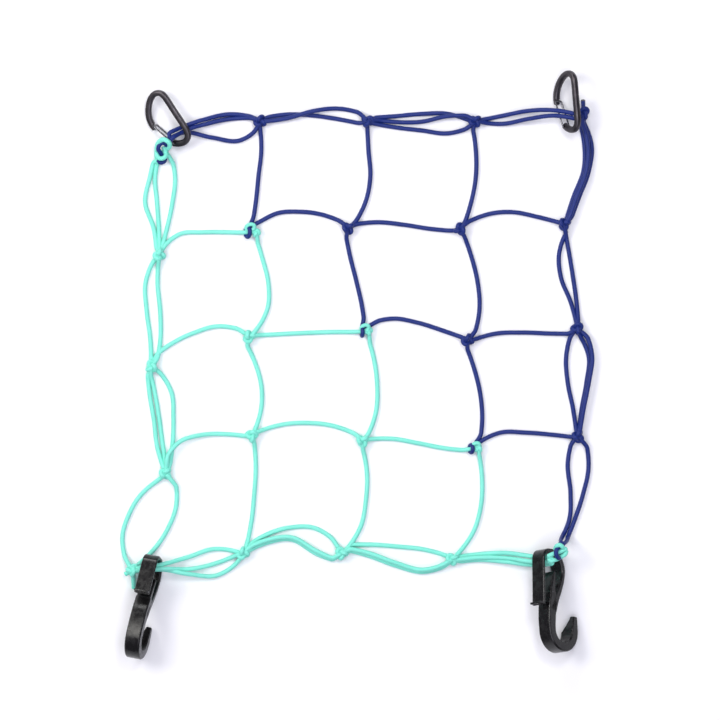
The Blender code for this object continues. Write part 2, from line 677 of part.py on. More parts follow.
def snap_bar(snap):
    """A snap hook's bent bar, with a hole for the gate's pin and a notch in its nose."""
    normal = snap_axes(snap)[2]
    path = smooth([snap_point(snap, bend.across, bend.up) for bend in BAR], BAR_STEPS)
    radii = [(BAR_RADIUS, BAR_RADIUS)] * len(path)
    for i in range(END_BENDS * BAR_STEPS):
        radii[i] = (END_WIDE, END_HALF)
    path.insert(0, path[0] + (path[0] - path[1]).normalized() * BAR_END)
    path.append(path[-1] + (path[-1] - path[-2]).normalized() * BAR_END)
    small = BAR_RADIUS * BAR_END_SIZE
    radii = [(small, small), *radii, (small, small)]
    rings = tube_rings(path, radii, BAR_SIDES, normal)
    bar = mesh_object("carabiner_" + snap.side, rings, False, bpy.context.scene.collection)
    cuts = helper_collection("cuts_" + snap.side)
    ends = [snap_point(snap, PIVOT.across, PIVOT.up, off) for off in (-CUT_REACH, CUT_REACH)]
    hole = tube_rings(ends, [PIVOT_HOLE] * 2, PIN_SIDES, snap_axes(snap)[0])
    hide_helper(mesh_object("hole_" + snap.side, hole, False, cuts))
    up, across, off = snap_axes(snap)
    corner = snap_point(snap, NOTCH["across"] - CUT_REACH, NOTCH["low"], -CUT_REACH)
    edges = (up * (NOTCH["high"] - NOTCH["low"]), across * CUT_REACH, off * CUT_REACH * 2)
    notch = box_rings(corner, *edges)
    hide_helper(mesh_object("notch_" + snap.side, notch, False, cuts))
    add_boolean(bar, "DIFFERENCE", cuts)
    bar.data.materials.append(finish_material("bar"))
    return bar


def gate(snap):
    """A snap hook's wire gate: a pin through the bar, two legs and a closed end in the notch."""
    low = snap_point(snap, PIVOT.across, PIVOT.up)
    high = snap_point(snap, GATE_TIP.across, GATE_TIP.up)
    along = (high - low).normalized() * GATE_CORNER
    out = snap_axes(snap)[2]
    inner = out * (GATE_HALF - GATE_CORNER)
    outer = out * GATE_HALF
    path = [
        low - inner,
        low - outer + along,
        high - outer - along,
        high - inner,
        high + inner,
        high + outer - along,
        low + outer + along,
        low + inner,
    ]
    rings = tube_rings(path, [WIRE_RADIUS] * len(path), WIRE_SIDES, along.cross(out).normalized(), closed=True)
    wire = mesh_object("gate_" + snap.side, rings, True, bpy.context.scene.collection)
    wire.data.materials.append(finish_material("wire"))
    return wire


def hook_axes(hook):
    """A moulded hook's own directions: into its depth, down its length and across its band."""
    roll = math.radians(hook.roll)
    pitch = math.atan(HOOK_PITCH * math.sin(roll))
    turned = Matrix.Rotation(math.radians(hook.yaw), 3, "Z")
    depth = Vector((math.cos(roll), -math.sin(roll) * math.sin(pitch), -math.sin(roll) * math.cos(pitch)))
    drop = Vector((0, -math.cos(pitch), math.sin(pitch)))
    return turned @ depth, turned @ drop, turned @ drop.cross(depth)


def band_rings(hook, sections):
    """Rings of a band that follows sections in a moulded hook's plane, its edges chamfered."""
    into, down, wide = hook_axes(hook)
    path = [Vector((hook.x, hook.y, 0)) + into * s.depth + down * s.drop for s in sections]
    rings = []
    for i, section in enumerate(sections):
        along = (path[min(i + 1, len(path) - 1)] - path[max(i - 1, 0)]).normalized()
        side = along.cross(wide)
        half = section.thick / 2
        cut = min(BAND_CHAMFER, half / 2)
        near = -section.near
        far = section.far - BAND_WIDTH
        corners = [
            (half, far + cut),
            (half, near - cut),
            (half - cut, near),
            (cut - half, near),
            (-half, near - cut),
            (-half, far + cut),
            (cut - half, far),
            (half - cut, far),
        ]
        rings.append([path[i] + side * a + wide * b for a, b in corners])
    return rings


def moulded_hook(hook):
    """A moulded hook, lying on its back arm and its crook, both cut level where they rest."""
    arc = []
    for step in range(CROOK_STEPS + 1):
        angle = math.pi * (1 - step / CROOK_STEPS)
        depth = CROOK_DEPTH + CROOK_RADIUS * math.cos(angle)
        arc.append(Section(depth, CROOK_DROP + CROOK_RADIUS * math.sin(angle), CROOK_THICK))
    tongue, lip = (
        [row._replace(drop=hook.tongue_end + row.drop) for row in rows] for rows in (TONGUE, LIP)
    )
    bands = [
        band_rings(hook, tongue + LOOP_AND_BACK),
        band_rings(hook, SHANK + arc + CROOK_TIP),
        band_rings(hook, SPUR),
        band_rings(hook, lip),
    ]
    lowest = min(point.z for rings in bands for ring in rings for point in ring)
    lift = UP * (-HOOK_SINK - lowest)
    bands = [[[point + lift for point in ring] for ring in rings] for rings in bands]
    body = mesh_object("hook_" + hook.side, bands[0], False, bpy.context.scene.collection)
    helpers = helper_collection("bands_" + hook.side)
    for number, rings in enumerate(bands[1:]):
        hide_helper(mesh_object(f"band_{hook.side}_{number}", rings, False, helpers))
    add_boolean(body, "UNION", helpers)
    floor = helper_collection("floor_" + hook.side)
    corner = Vector((hook.x - FLOOR_BLOCK, hook.y - FLOOR_BLOCK * 2, -HOOK_SINK * 3))
    edges = (Vector((FLOOR_BLOCK * 2, 0, 0)), Vector((0, FLOOR_BLOCK * 3, 0)), UP * HOOK_SINK * 3)
    hide_helper(mesh_object("block_" + hook.side, box_rings(corner, *edges), False, floor))
    add_boolean(body, "DIFFERENCE", floor)
    body.data.materials.append(finish_material("hook"))
    return body


def main():
    """Build every piece."""
    clear_scene()
    net_half("blue")
    net_half("mint")
    for snap in SNAPS:
        snap_bar(snap)
        gate(snap)
    for hook in HOOKS:
        moulded_hook(hook)


main()
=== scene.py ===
"""Looks of an elastic cord luggage net that lies flat, with its snap hooks and moulded hooks.

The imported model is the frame. Each half of the net is one mesh of braided cord with its knots
tied turn by turn, and the snap hooks and moulded hooks are formed again with finer sections.
X runs right, Y up the picture and Z up from the surface, in millimetres here.
"""

import logging
import math
from dataclasses import dataclass, field
from enum import Enum
from typing import NamedTuple

import bpy
from mathutils import Matrix, Vector, noise


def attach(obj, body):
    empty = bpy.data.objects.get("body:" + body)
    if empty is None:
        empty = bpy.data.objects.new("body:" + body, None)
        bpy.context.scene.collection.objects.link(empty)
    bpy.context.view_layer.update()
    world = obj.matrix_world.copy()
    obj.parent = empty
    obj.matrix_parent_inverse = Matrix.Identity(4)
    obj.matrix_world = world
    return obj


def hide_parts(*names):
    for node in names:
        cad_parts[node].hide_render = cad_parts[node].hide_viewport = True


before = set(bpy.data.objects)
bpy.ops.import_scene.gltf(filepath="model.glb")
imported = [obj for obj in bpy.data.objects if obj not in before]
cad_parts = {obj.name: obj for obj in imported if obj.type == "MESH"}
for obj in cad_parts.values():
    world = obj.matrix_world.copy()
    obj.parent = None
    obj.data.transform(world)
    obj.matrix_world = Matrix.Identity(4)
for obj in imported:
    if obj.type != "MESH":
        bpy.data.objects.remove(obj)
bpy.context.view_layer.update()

log = logging.getLogger("luggage_net")

Tree = bpy.types.NodeTree
Socket = bpy.types.NodeSocket
Piece = bpy.types.Object

MM = 0.001
UP = Vector((0, 0, 1))
# The net's middle, counted as in the tables: from a point near the photograph's middle.
CENTRE = Vector((-0.7, -1.05, 0))
# Half a cord's thickness, and how high a plain knot's middle lies.
CORD_RADIUS = 1.95
KNOT_REST = 5.1
# A strand's row gives its sideways distance at each quarter of the way.
QUARTER = 0.25
# The span that most values of a noise lie in.
NOISE_SPAN = (0.3, 0.7)
# A tube's section starts with its height straight up, unless its path runs up steeper than this.
STEEP = 0.9
# A rounded end's rings, and how far short of the tip the last one stops, in rings.
END_RINGS = 4
END_SHORT = 0.35

# ---- the camera, straight above the picture's middle ----
PIXEL_MM = 0.88
IMAGE_PIXELS = 720
PICTURE_MIDDLE = Vector((1.76, 3.08, 0))
LENS_MM = 300.0
SENSOR_MM = 36.0


class CordColour(Enum):
    """The two colours of elastic cord."""

    BLUE = "blue"
    MINT = "mint"


class Slot(Enum):
    """The record's material slots."""

    BLUE = "cord_blue"
    GREEN = "cord_green"
    BAR = "bar"
    WIRE = "wire"
    HOOK = "hook"


class Knot(NamedTuple):
    """A knot of the net: where it lies, its kind, how its axis is turned and its height."""

    x: float
    y: float
    kind: str
    turn: float
    height: float = KNOT_REST


class Strand(NamedTuple):
    """A strand between two knots, with its sideways distance from the straight line."""

    name: str
    start: str
    end: str
    colour: str
    at_0: float
    at_25: float
    at_50: float
    at_75: float
    at_100: float

    def sideways(self, share: float) -> float:
        """Lead a smooth curve through the strand's five sideways distances.

        Args:
            share: How far along the strand, from 0 to 1.

        Returns:
            The distance to the left of the straight line there.
        """
        offsets = (self.at_0, self.at_25, self.at_50, self.at_75, self.at_100)
        slopes = [(offsets[i + 1] - offsets[i - 1]) / (2 * QUARTER) for i in (1, 2, 3)]
        slopes.insert(0, 2 * (offsets[1] - offsets[0]) / QUARTER - slopes[0])
        slopes.append(2 * (offsets[4] - offsets[3]) / QUARTER - slopes[3])
        i = min(int(share / QUARTER), 3)
        u = share / QUARTER - i
        return (
            offsets[i] * (1 + 2 * u) * (1 - u) ** 2
            + slopes[i] * QUARTER * u * (1 - u) ** 2
            + offsets[i + 1] * u * u * (3 - 2 * u)
            + slopes[i + 1] * QUARTER * u * u * (u - 1)
        )


class LinkLook(NamedTuple):
    """How a plain two-colour knot sits: its blue ring, the green turn over it and the green lump."""

    ring_x: float
    ring_y: float
    ring_half: float
    lean: float
    cap_x: float
    cap_y: float
    cap_half: float
    lump_x: float
    lump_y: float


class Loop(NamedTuple):
    """A turn of cord in a corner knot, with its points round the knot's middle."""

    knot: str
    colour: str
    radius: float
    points: tuple[tuple[float, float, float], ...]


class Tail(NamedTuple):
    """A short cord end that leaves a knot."""

    knot: str
    x: float
    y: float
    height: float


class Bend(NamedTuple):
    """A bend of a snap hook's bar, in the bar's own plane."""

    across: float
    up: float


class Snap(NamedTuple):
    """Where a snap hook lies and how it leans."""

    side: str
    x: float
    y: float
    heading: float
    tilt: float
    nose_height: float


class Softbox(NamedTuple):
    """A studio light with a soft square face: its place, in metres, size, watts and colour."""

    name: str
    x: float
    y: float
    z: float
    size: float
    power: float
    colour: str


class Section(NamedTuple):
    """A section of a moulded hook's band: its place, thickness and narrowing on each side."""

    depth: float
    drop: float
    thick: float
    near: float = 0.0
    far: float = 0.0


class Hook(NamedTuple):
    """Where a moulded hook lies, how it is turned and where its tongue ends."""

    side: str
    x: float
    y: float
    roll: float
    yaw: float
    tongue_end: float


# ---- the net: its knots, strands and cord ends ----
KNOTS = {
    "00": Knot(-173.0, 187.4, "link", 0, 6.6),
    "01": Knot(-86.0, 213.0, "blue", 0),
    "02": Knot(8.5, 213.0, "blue", 12),
    "03": Knot(103.0, 213.0, "blue", 0),
    "04": Knot(198.0, 220.0, "blue", 80, 11.0),
    "10": Knot(-174.5, 95.5, "mint", 60),
    "11": Knot(-94.0, 117.0, "link", 0),
    "12": Knot(-8.5, 119.0, "blue", 40),
    "13": Knot(89.5, 118.0, "blue", 30),
    "14": Knot(181.5, 122.5, "blue", 45),
    "20": Knot(-181.5, -2.5, "mint", 70),
    "21": Knot(-95.5, 23.5, "mint", 50),
    "22": Knot(6.0, 28.5, "link", 0),
    "23": Knot(96.5, 20.5, "blue", 45),
    "24": Knot(192.5, 31.0, "blue", 80),
    "30": Knot(-169.0, -96.5, "mint", 35),
    "31": Knot(-93.5, -63.5, "mint", 90),
    "32": Knot(4.0, -68.0, "mint", 45),
    "33": Knot(103.5, -74.5, "link", 0),
    "34": Knot(193.5, -64.0, "blue", 90),
    "40": Knot(-198.0, -181.5, "mint", 30, 9.0),
    "41": Knot(-101.0, -167.0, "mint", 40),
    "42": Knot(-14.5, -167.0, "mint", 140),
    "43": Knot(83.0, -172.0, "mint", 0),
    "44": Knot(177.5, -163.0, "link", 0, 24.5),
}
# How near to a knot its strands swing to their ends, where that isn't the usual distance.
SHORT_PULL = {"44": 9.0}

# One row for each plain two-colour knot, in millimetres from its middle and degrees.
LINK_LOOKS = {
    "11": LinkLook(-3.0, -1.4, 4.4, 34.0, -0.6, 2.6, 3.6, 4.4, -1.8),
    "22": LinkLook(-2.4, -0.9, 3.3, 8.0, 0.2, 2.8, 3.2, 3.0, -0.4),
    "33": LinkLook(-4.0, -0.4, 3.3, 24.0, 0.2, 2.4, 2.8, 2.0, 0.0),
}
# The turns of the two corner knots, which hold more strands: across and up the picture from the
# knot's middle, and above the surface.
LOOPS = [
    Loop("00", "blue", 1.95, (
        (10.2, 10.5, 15.4), (6.7, 8.0, 15.2), (3.6, 6.8, 14.8), (0.5, 6.1, 14.8), (-1.7, 3.7, 14.0),
        (-2.3, 0.5, 12.5), (-0.3, -2.5, 9.5), (1.4, -5.7, 6.0), (0.5, -8.3, 4.0),
    )),
    Loop("00", "blue", 1.95, (
        (1.6, 6.6, 13.4), (4.4, 5.2, 13.4), (6.4, 2.5, 10.5), (5.1, 0.8, 7.5), (2.3, 0.5, 6.0),
    )),
    Loop("00", "blue", 1.8, (
        (-3.6, -7.1, 4.0), (-2.6, -9.5, 4.6), (-0.2, -10.9, 4.8), (2.5, -9.9, 4.4), (3.5, -7.4, 4.0),
    )),
    Loop("00", "mint", 2.1, (
        (-3.7, -7.4, 4.5), (-4.0, -2.2, 6.5), (-3.5, 3.3, 11.0), (-1.8, 6.8, 14.6), (1.2, 8.9, 17.8),
        (4.6, 8.4, 19.4), (7.4, 6.1, 18.6), (7.8, 3.5, 14.6), (6.3, 1.7, 11.5), (3.7, 1.0, 8.5),
    )),
    Loop("00", "mint", 2.0, (
        (-3.9, -2.9, 9.0), (-2.6, -6.2, 10.4), (0.0, -7.4, 10.8), (3.0, -6.4, 10.4), (4.4, -3.7, 9.0),
        (3.0, -1.8, 7.5), (0.2, -1.8, 6.5),
    )),
    Loop("44", "blue", 1.95, (
        (1.7, 6.3, 24.0), (-0.1, 3.3, 24.2), (-2.6, 1.3, 27.0), (-4.1, -1.3, 28.4), (-3.8, -4.8, 28.0),
        (-2.0, -7.3, 25.4), (0.3, -6.6, 22.0), (1.3, -4.0, 20.5), (1.0, -0.3, 20.5),
    )),
    Loop("44", "mint", 1.95, (
        (-4.8, 0.6, 23.5), (-3.6, 3.1, 27.2), (-1.1, 4.2, 28.8), (1.5, 2.4, 28.2), (2.7, 0.1, 25.2),
    )),
    Loop("44", "mint", 2.0, (
        (-10.7, -5.7, 23.4), (-7.7, -4.3, 24.3), (-3.3, -2.7, 24.6), (0.6, -1.3, 25.6),
        (4.7, 0.9, 26.4),
    )),
    Loop("44", "mint", 1.95, (
        (-10.3, -10.3, 22.0), (-6.2, -9.4, 23.0), (-2.4, -8.2, 22.4), (1.0, -6.1, 23.5),
        (4.0, -4.0, 24.4), (5.0, -1.3, 24.4),
    )),
]
# Where the strands of the corner knots end, counted in the same way.
LANDINGS = {
    "T1a": Vector((6.0, 9.0, 15.2)),
    "T1b": Vector((7.2, 8.4, 15.6)),
    "T1c": Vector((8.6, 7.7, 14.8)),
    "L1a": Vector((-3.7, -7.0, 4.5)),
    "L1b": Vector((-2.2, -8.1, 4.5)),
    "L1c": Vector((1.8, 3.2, 9.6)),
    "R4a": Vector((-0.6, 5.2, 24.0)),
    "R4b": Vector((1.8, 3.8, 24.0)),
    "B4a": Vector((-10.5, -5.6, 23.4)),
    "B4b": Vector((-10.3, -8.1, 22.7)),
    "B4c": Vector((-9.9, -10.2, 22.0)),
}

STRANDS = [
    Strand("T1a", "00", "01", "blue", 9.5, 14.2, 15.2, 13.2, 2.0),
    Strand("T1b", "00", "01", "blue", 0.5, 10.1, 11.0, 9.1, 2.5),
    Strand("T1c", "00", "01", "blue", 0.5, 9.5, -1.5, -11.0, -2.5),
    Strand("T2a", "01", "02", "blue", 2.0, 6.0, 5.0, 1.5, -3.5),
    Strand("T2b", "01", "02", "blue", -0.5, 2.5, 9.0, 11.0, 4.5),
    Strand("T3a", "02", "03", "blue", 3.0, 4.5, 6.5, 6.5, -2.0),
    Strand("T3b", "02", "03", "blue", 2.5, -0.5, -0.5, 4.5, 4.0),
    Strand("T3c", "02", "03", "blue", -1.0, -5.2, -8.0, -10.5, -3.0),
    Strand("T4a", "03", "04", "blue", 0.0, 3.0, 5.5, 3.8, -3.5),
    Strand("T4b", "03", "04", "blue", 0.5, -4.0, -1.5, -0.8, -7.9),
    Strand("L1a", "00", "10", "mint", -4.5, -9.5, -13.5, -5.5, -3.0),
    Strand("L1b", "00", "10", "mint", 0.0, -5.0, -3.0, -1.0, 0.0),
    Strand("L1c", "00", "10", "mint", 7.0, 12.5, 10.5, 6.0, 0.0),
    Strand("L2a", "10", "20", "mint", -2.0, -10.5, -8.0, -3.0, -0.5),
    Strand("L2b", "10", "20", "mint", 0.0, 0.0, 4.0, 6.0, 3.5),
    Strand("L3a", "20", "30", "mint", -4.0, -5.0, -4.2, -4.4, 0.0),
    Strand("L3b", "20", "30", "mint", -2.5, -0.3, 0.5, 0.5, 1.5),
    Strand("L3c", "20", "30", "mint", 2.0, 14.0, 13.0, 9.0, 2.5),
    Strand("L4a", "30", "40", "mint", 2.5, -13.5, -19.0, -17.5, -3.5),
    Strand("L4b", "30", "40", "mint", 8.0, 17.5, 17.5, 11.5, -1.0),
    Strand("R1a", "04", "14", "blue", -6.0, 5.0, 8.8, 4.0, 0.5),
    Strand("R1b", "04", "14", "blue", -5.0, 8.0, 11.1, 6.5, 2.5),
    Strand("R1c", "04", "14", "blue", -5.0, 11.5, 13.4, 8.6, 4.0),
    Strand("R2a", "14", "24", "blue", 6.5, -7.0, -8.5, -2.5, 0.5),
    Strand("R2b", "14", "24", "blue", -0.5, 1.0, 2.0, 2.5, 1.5),
    Strand("R3a", "24", "34", "blue", -3.0, -9.5, -8.5, -4.0, -1.0),
    Strand("R3b", "24", "34", "blue", -2.5, 10.0, 8.0, 3.5, 0.5),
    Strand("R3c", "24", "34", "blue", 5.5, 13.0, 10.0, 5.0, 1.0),
    Strand("R4a", "34", "44", "blue", -3.5, -5.0, 1.5, 4.0, -5.0),
    Strand("R4b", "34", "44", "blue", 6.0, 13.5, 12.5, 8.4, 2.5),
    Strand("B1a", "40", "41", "mint", 2.0, 1.2, 3.8, 7.5, -0.5),
    Strand("B1b", "40", "41", "mint", -1.0, -2.2, -6.5, -5.0, 1.5),
    Strand("B1c", "40", "41", "mint", -3.0, -3.0, -11.0, -15.5, -2.0),
    Strand("B2a", "41", "42", "mint", 3.5, 17.0, 23.0, 21.5, 5.0),
    Strand("B2b", "41", "42", "mint", 2.5, 12.0, 14.0, 2.0, -7.5),
    Strand("B2c", "41", "42", "mint", -0.5, 9.5, 12.0, -0.5, -7.5),
    Strand("B3a", "42", "43", "mint", 7.0, 9.0, 8.5, 7.0, 1.0),
    Strand("B3b", "42", "43", "mint", 5.5, 1.5, -6.0, -10.5, 0.0),
    Strand("B3c", "42", "43", "mint", 4.0, -1.0, -8.5, -12.5, -2.5),
    Strand("B4a", "43", "44", "mint", 1.0, 2.0, 1.0, -4.3, -7.9),
    Strand("B4b", "43", "44", "mint", -1.5, -0.8, -3.5, -8.7, -9.5),
    Strand("B4c", "43", "44", "mint", -3.5, -3.0, -7.0, -11.7, -11.0),
    Strand("C1a", "01", "11", "blue", -1.0, 3.0, 2.5, 2.0, 0.0),
    Strand("C1b", "11", "21", "mint", 2.0, 10.0, 16.0, 15.0, 1.0),
    Strand("C1c", "21", "31", "mint", -6.5, 4.0, 9.5, 8.5, 0.5),
    Strand("C1d", "31", "41", "mint", 1.5, 5.5, 6.0, 5.0, 1.0),
    Strand("C2a", "02", "12", "blue", -0.5, 5.0, 11.0, 10.5, 2.0),
    Strand("C2b", "12", "22", "blue", -3.0, -2.5, -0.5, 1.0, 0.5),
    Strand("C2c", "22", "32", "mint", 0.5, 8.5, 12.0, 11.0, 2.0),
    Strand("C2d", "32", "42", "mint", -2.0, 8.5, 12.5, 12.0, 1.0),
    Strand("C3a", "03", "13", "blue", -3.5, 4.0, 7.5, 6.5, 2.0),
    Strand("C3b", "13", "23", "blue", 1.5, 8.5, 12.5, 12.0, 4.0),
    Strand("C3c", "23", "33", "blue", -3.5, 3.5, 7.5, 7.5, 2.5),
    Strand("C3d", "33", "43", "mint", 2.0, 11.0, 15.0, 12.5, 0.0),
    Strand("W1a", "10", "11", "mint", 1.5, 13.0, 9.5, 4.0, -2.5),
    Strand("W1b", "11", "12", "blue", 1.0, 14.0, 15.5, 12.0, 2.5),
    Strand("W1c", "12", "13", "blue", 2.0, 5.5, 3.5, 0.0, -1.5),
    Strand("W1d", "13", "14", "blue", 2.0, 11.5, 13.0, 7.5, 0.0),
    Strand("W2a", "20", "21", "mint", 5.5, 14.0, 17.5, 16.5, 4.0),
    Strand("W2b", "21", "22", "mint", 1.0, 1.0, 1.0, 0.5, -1.0),
    Strand("W2c", "22", "23", "blue", 5.0, 13.0, 11.5, 6.5, 0.5),
    Strand("W2d", "23", "24", "blue", -2.0, 3.0, 1.5, -2.0, -5.0),
    Strand("W3a", "30", "31", "mint", 7.0, 20.0, 18.5, 10.5, -1.5),
    Strand("W3b", "31", "32", "mint", 1.0, 10.5, 13.5, 11.5, 2.5),
    Strand("W3c", "32", "33", "mint", 0.5, 3.5, 1.0, -2.0, -2.0),
    Strand("W3d", "33", "34", "blue", 2.5, 11.0, 8.5, 4.0, -1.5),
]

# Where strands are held off the surface: how far along each, and how high its axis is.
LIFTS = {
    "T1a": ((9.0, 13.6), (14.0, 13.2), (21.5, 8.6), (28.0, 8.4)),
    "T1b": ((9.0, 17.4), (13.0, 16.8), (22.0, 8.8), (31.0, 8.6), (40.0, 6.1)),
    "T1c": ((9.0, 13.4), (13.0, 12.8), (22.0, 4.8), (31.0, 4.4)),
    "T2b": ((14.0, 6.1), (44.0, 6.1)),
    "T3b": ((64.0, 6.1), (80.0, 6.4)),
    "T4a": ((72.0, 14.6), (88.0, 16.9)),
    "T4b": ((72.0, 14.6), (88.0, 16.9)),
    "R1b": ((20.0, 6.6), (82.0, 6.1)),
    "R3c": ((14.0, 6.1), (80.0, 6.1)),
    "W3a": ((5.0, 7.4), (13.0, 6.4)),
    "L4b": ((80.0, CORD_RADIUS),),
    "B1a": ((13.0, 12.4), (24.0, 14.6), (46.0, 4.0)),
    "B1b": ((14.0, 16.4), (27.0, 16.2), (46.0, 6.1)),
    "B1c": ((14.0, 12.3), (26.0, 12.2)),
    "B2b": ((14.0, 6.1), (74.0, 6.1)),
    "B3b": ((16.0, 6.1), (84.0, 6.1)),
    "R4a": ((70.0, CORD_RADIUS),),
    "R4b": ((68.0, CORD_RADIUS),),
    "B4a": ((66.0, 9.0), (80.0, 17.0), (88.0, 22.5)),
    "B4b": ((14.0, 6.1), (48.0, 6.1), (66.0, 12.0), (80.0, 19.0), (88.0, 23.5)),
    "B4c": ((66.0, 7.0), (80.0, 14.5), (88.0, 20.5)),
}

TAILS = [
    Tail("04", 197.7, 231.4, 8.0),
    Tail("40", -197.1, -197.6, 2.4),
    Tail("40", -204.5, -185.2, 7.0),
]

# ---- the snap hooks ----
NOSE_WIDTH = 25.2
BAR_RADIUS = 2.65
BAR = [
    Bend(17.5, 4.65),
    Bend(13.5, 1.7),
    Bend(7.5, 0.0),
    Bend(2.4, 2.4),
    Bend(0.2, 8.0),
    Bend(0.0, 16.0),
    Bend(0.0, 30.0),
    Bend(0.0, 42.0),
    Bend(1.8, 47.2),
    Bend(6.5, 49.6),
    Bend(13.0, 47.8),
    Bend(19.5, 42.2),
    Bend(23.6, 35.8),
    Bend(NOSE_WIDTH, 29.5),
    Bend(24.8, 24.6),
]
PIVOT = Bend(16.2, 3.75)
GATE_TIP = Bend(23.2, 26.6)
NOTCH = {"across": 24.5, "low": 22.0, "high": 28.4}
SNAPS = [
    Snap("left", -146.2, 198.6, 123.3, 25.0, 3.35),
    Snap("right", 193.4, 205.45, 95.2, 50.0, BAR_RADIUS),
]

# ---- the moulded hooks ----
# A long edge's flat chamfer with eased corners: how deep and how far aside, in chamfers.
CHAMFER = ((0.0, 1.4), (0.0, 1.04), (0.12, 0.8), (0.8, 0.12), (1.04, 0.0), (1.4, 0.0))
LOOP_AND_BACK = [
    Section(1.3, 26.0, 2.6),
    Section(1.3, 9.5, 2.8),
    Section(2.6, 5.0, 3.0),
    Section(6.0, 2.2, 3.2),
    Section(11.0, 1.7, 3.4),
    Section(17.5, 1.9, 3.4),
    Section(22.0, 4.6, 3.8),
    Section(25.6, 10.2, 4.2),
    Section(27.6, 17.5, 4.6),
    Section(26.0, 26.5, 5.0),
    Section(22.4, 35.5, 5.6),
    Section(17.5, 45.0, 7.0),
    Section(13.5, 54.0, 9.4),
]
SPUR = [
    Section(16.0, 19.8, 2.2, 0.5, 0.5),
    Section(14.8, 27.0, 4.2, 0.5, 0.5),
    Section(13.6, 38.0, 7.0, 0.5, 0.5),
    Section(13.2, 50.0, 10.2, 0.5, 0.5),
]
TONGUE = [Section(1.3, 0.0, 2.4), Section(1.3, -4.4, 2.6)]
LIP = [
    Section(-3.0, -1.0, 1.8, 0.3, 0.3),
    Section(0.0, -1.4, 2.2, 0.3, 0.3),
    Section(2.2, -1.8, 2.8, 0.3, 0.3),
]
SHANK = [
    Section(13.7, 38.0, 7.4),
    Section(13.4, 44.0, 8.9),
    Section(13.0, 50.0, 10.2),
    Section(12.4, 57.0, 9.7),
    Section(12.2, 64.0, 9.0),
]
CROOK_TIP = [
    Section(42.6, 67.0, 8.0, 0.1, 2.6),
    Section(43.2, 62.6, 7.0, 0.3, 5.4),
    Section(43.7, 58.6, 6.0, 0.6, 7.4),
    Section(43.9, 56.4, 5.4, 0.8, 7.8),
]
HOOKS = [
    Hook("left", -174.1, -166.6, 77.0, -14.0, 37.5),
    Hook("right", 162.5, -160.4, 48.0, 0.0, 50.5),
]


# ---- the studio ----
SOFTBOXES = [
    Softbox("key", -1.35, 0.5, 1.6, 0.9, 22.0, "#FFFDF8"),
    Softbox("edge_glint", 0.37, 0.76, 1.87, 0.45, 9.0, "#FFFFFF"),
    Softbox("back", -0.5, 1.69, 1.08, 0.6, 9.0, "#FFFFFF"),
    Softbox("overhead", 0.2, -0.75, 2.8, 3.0, 60.0, "#F4F3FF"),
]


def linear(code: str) -> tuple[float, float, float, float]:
    """Turn an sRGB hex colour into linear light.

    Args:
        code: Six hex digits after a hash sign.

    Returns:
        Red, green, blue and full opacity.
    """
    parts = [int(code[i : i + 2], 16) / 255 for i in (1, 3, 5)]
    red, green, blue = (p / 12.92 if p <= 0.04045 else ((p + 0.055) / 1.055) ** 2.4 for p in parts)
    return (red, green, blue, 1.0)


def add_node(tree: Tree, kind: str, feeds: dict | None = None, **settings: object) -> bpy.types.Node:
    """Add a shader node with its settings and links.

    Args:
        tree: The node tree that gets the node.
        kind: The node's type, without the words ShaderNode.
        feeds: A socket or a plain value for each input, by the input's name or number.
        settings: The node's own attributes, such as its operation.

    Returns:
        The new node.
    """
    node = tree.nodes.new("ShaderNode" + kind)
    for name, value in settings.items():
        setattr(node, name, value)
    for key, source in (feeds or {}).items():
        if isinstance(source, Socket):
            tree.links.new(source, node.inputs[key])
        else:
            node.inputs[key].default_value = source
    return node


def bare_material(name: str) -> tuple[bpy.types.Material, Tree, bpy.types.Node]:
    """Make a material that holds only its surface shader.

    Args:
        name: The material's name.

    Returns:
        The material, its node tree and its surface shader.
    """
    material = bpy.data.materials.new(name)
    material.use_nodes = True
    tree = material.node_tree
    return material, tree, tree.nodes["Principled BSDF"]


def add_math(tree: Tree, operation: str, *terms: Socket | float, **settings: object) -> Socket:
    """Add one step of arithmetic.

    Args:
        tree: The node tree that gets it.
        operation: The step's name, such as MULTIPLY.
        terms: The sockets and plain values that it works on.
        settings: The node's other attributes.

    Returns:
        The socket of the result.
    """
    return add_node(tree, "Math", dict(enumerate(terms)), operation=operation, **settings).outputs[0]


def add_noise(tree: Tree, place: Socket, scale: float, detail: float) -> Socket:
    """Add a noise texture.

    Args:
        tree: The node tree that gets it.
        place: The socket of the place.
        scale: How many patches it has for each unit of the place.
        detail: How many finer layers lie over them.

    Returns:
        The socket of the noise's value.
    """
    feeds = {"Vector": place, "Scale": scale, "Detail": detail}
    return add_node(tree, "TexNoise", feeds).outputs[0]


def add_cord_noise(tree: Tree, place: Socket, rates: tuple[float, float], detail: float) -> Socket:
    """Add a noise texture that is stretched along a cord or a wire.

    Args:
        tree: The node tree that gets it.
        place: The socket of the place, in turns round the cord and millimetres along it.
        rates: How many patches it has for each turn and for each millimetre.
        detail: How many finer layers lie over them.

    Returns:
        The socket of the noise's value.
    """
    stretched = add_node(tree, "Mapping", {"Vector": place, "Scale": (*rates, 1.0)})
    return add_noise(tree, stretched.outputs[0], 1.0, detail)


def add_range(
    tree: Tree, value: Socket, given: tuple[float, float], wanted: tuple[float, float]
) -> Socket:
    """Stretch one range of values to another, held at both ends.

    Args:
        tree: The node tree that gets the step.
        value: The socket of the value.
        given: The range that the value is taken from.
        wanted: The range that it is stretched to.

    Returns:
        The socket of the stretched value.
    """
    names = ("From Min", "From Max", "To Min", "To Max")
    feeds = {"Value": value, **dict(zip(names, given + wanted))}
    return add_node(tree, "MapRange", feeds).outputs[0]


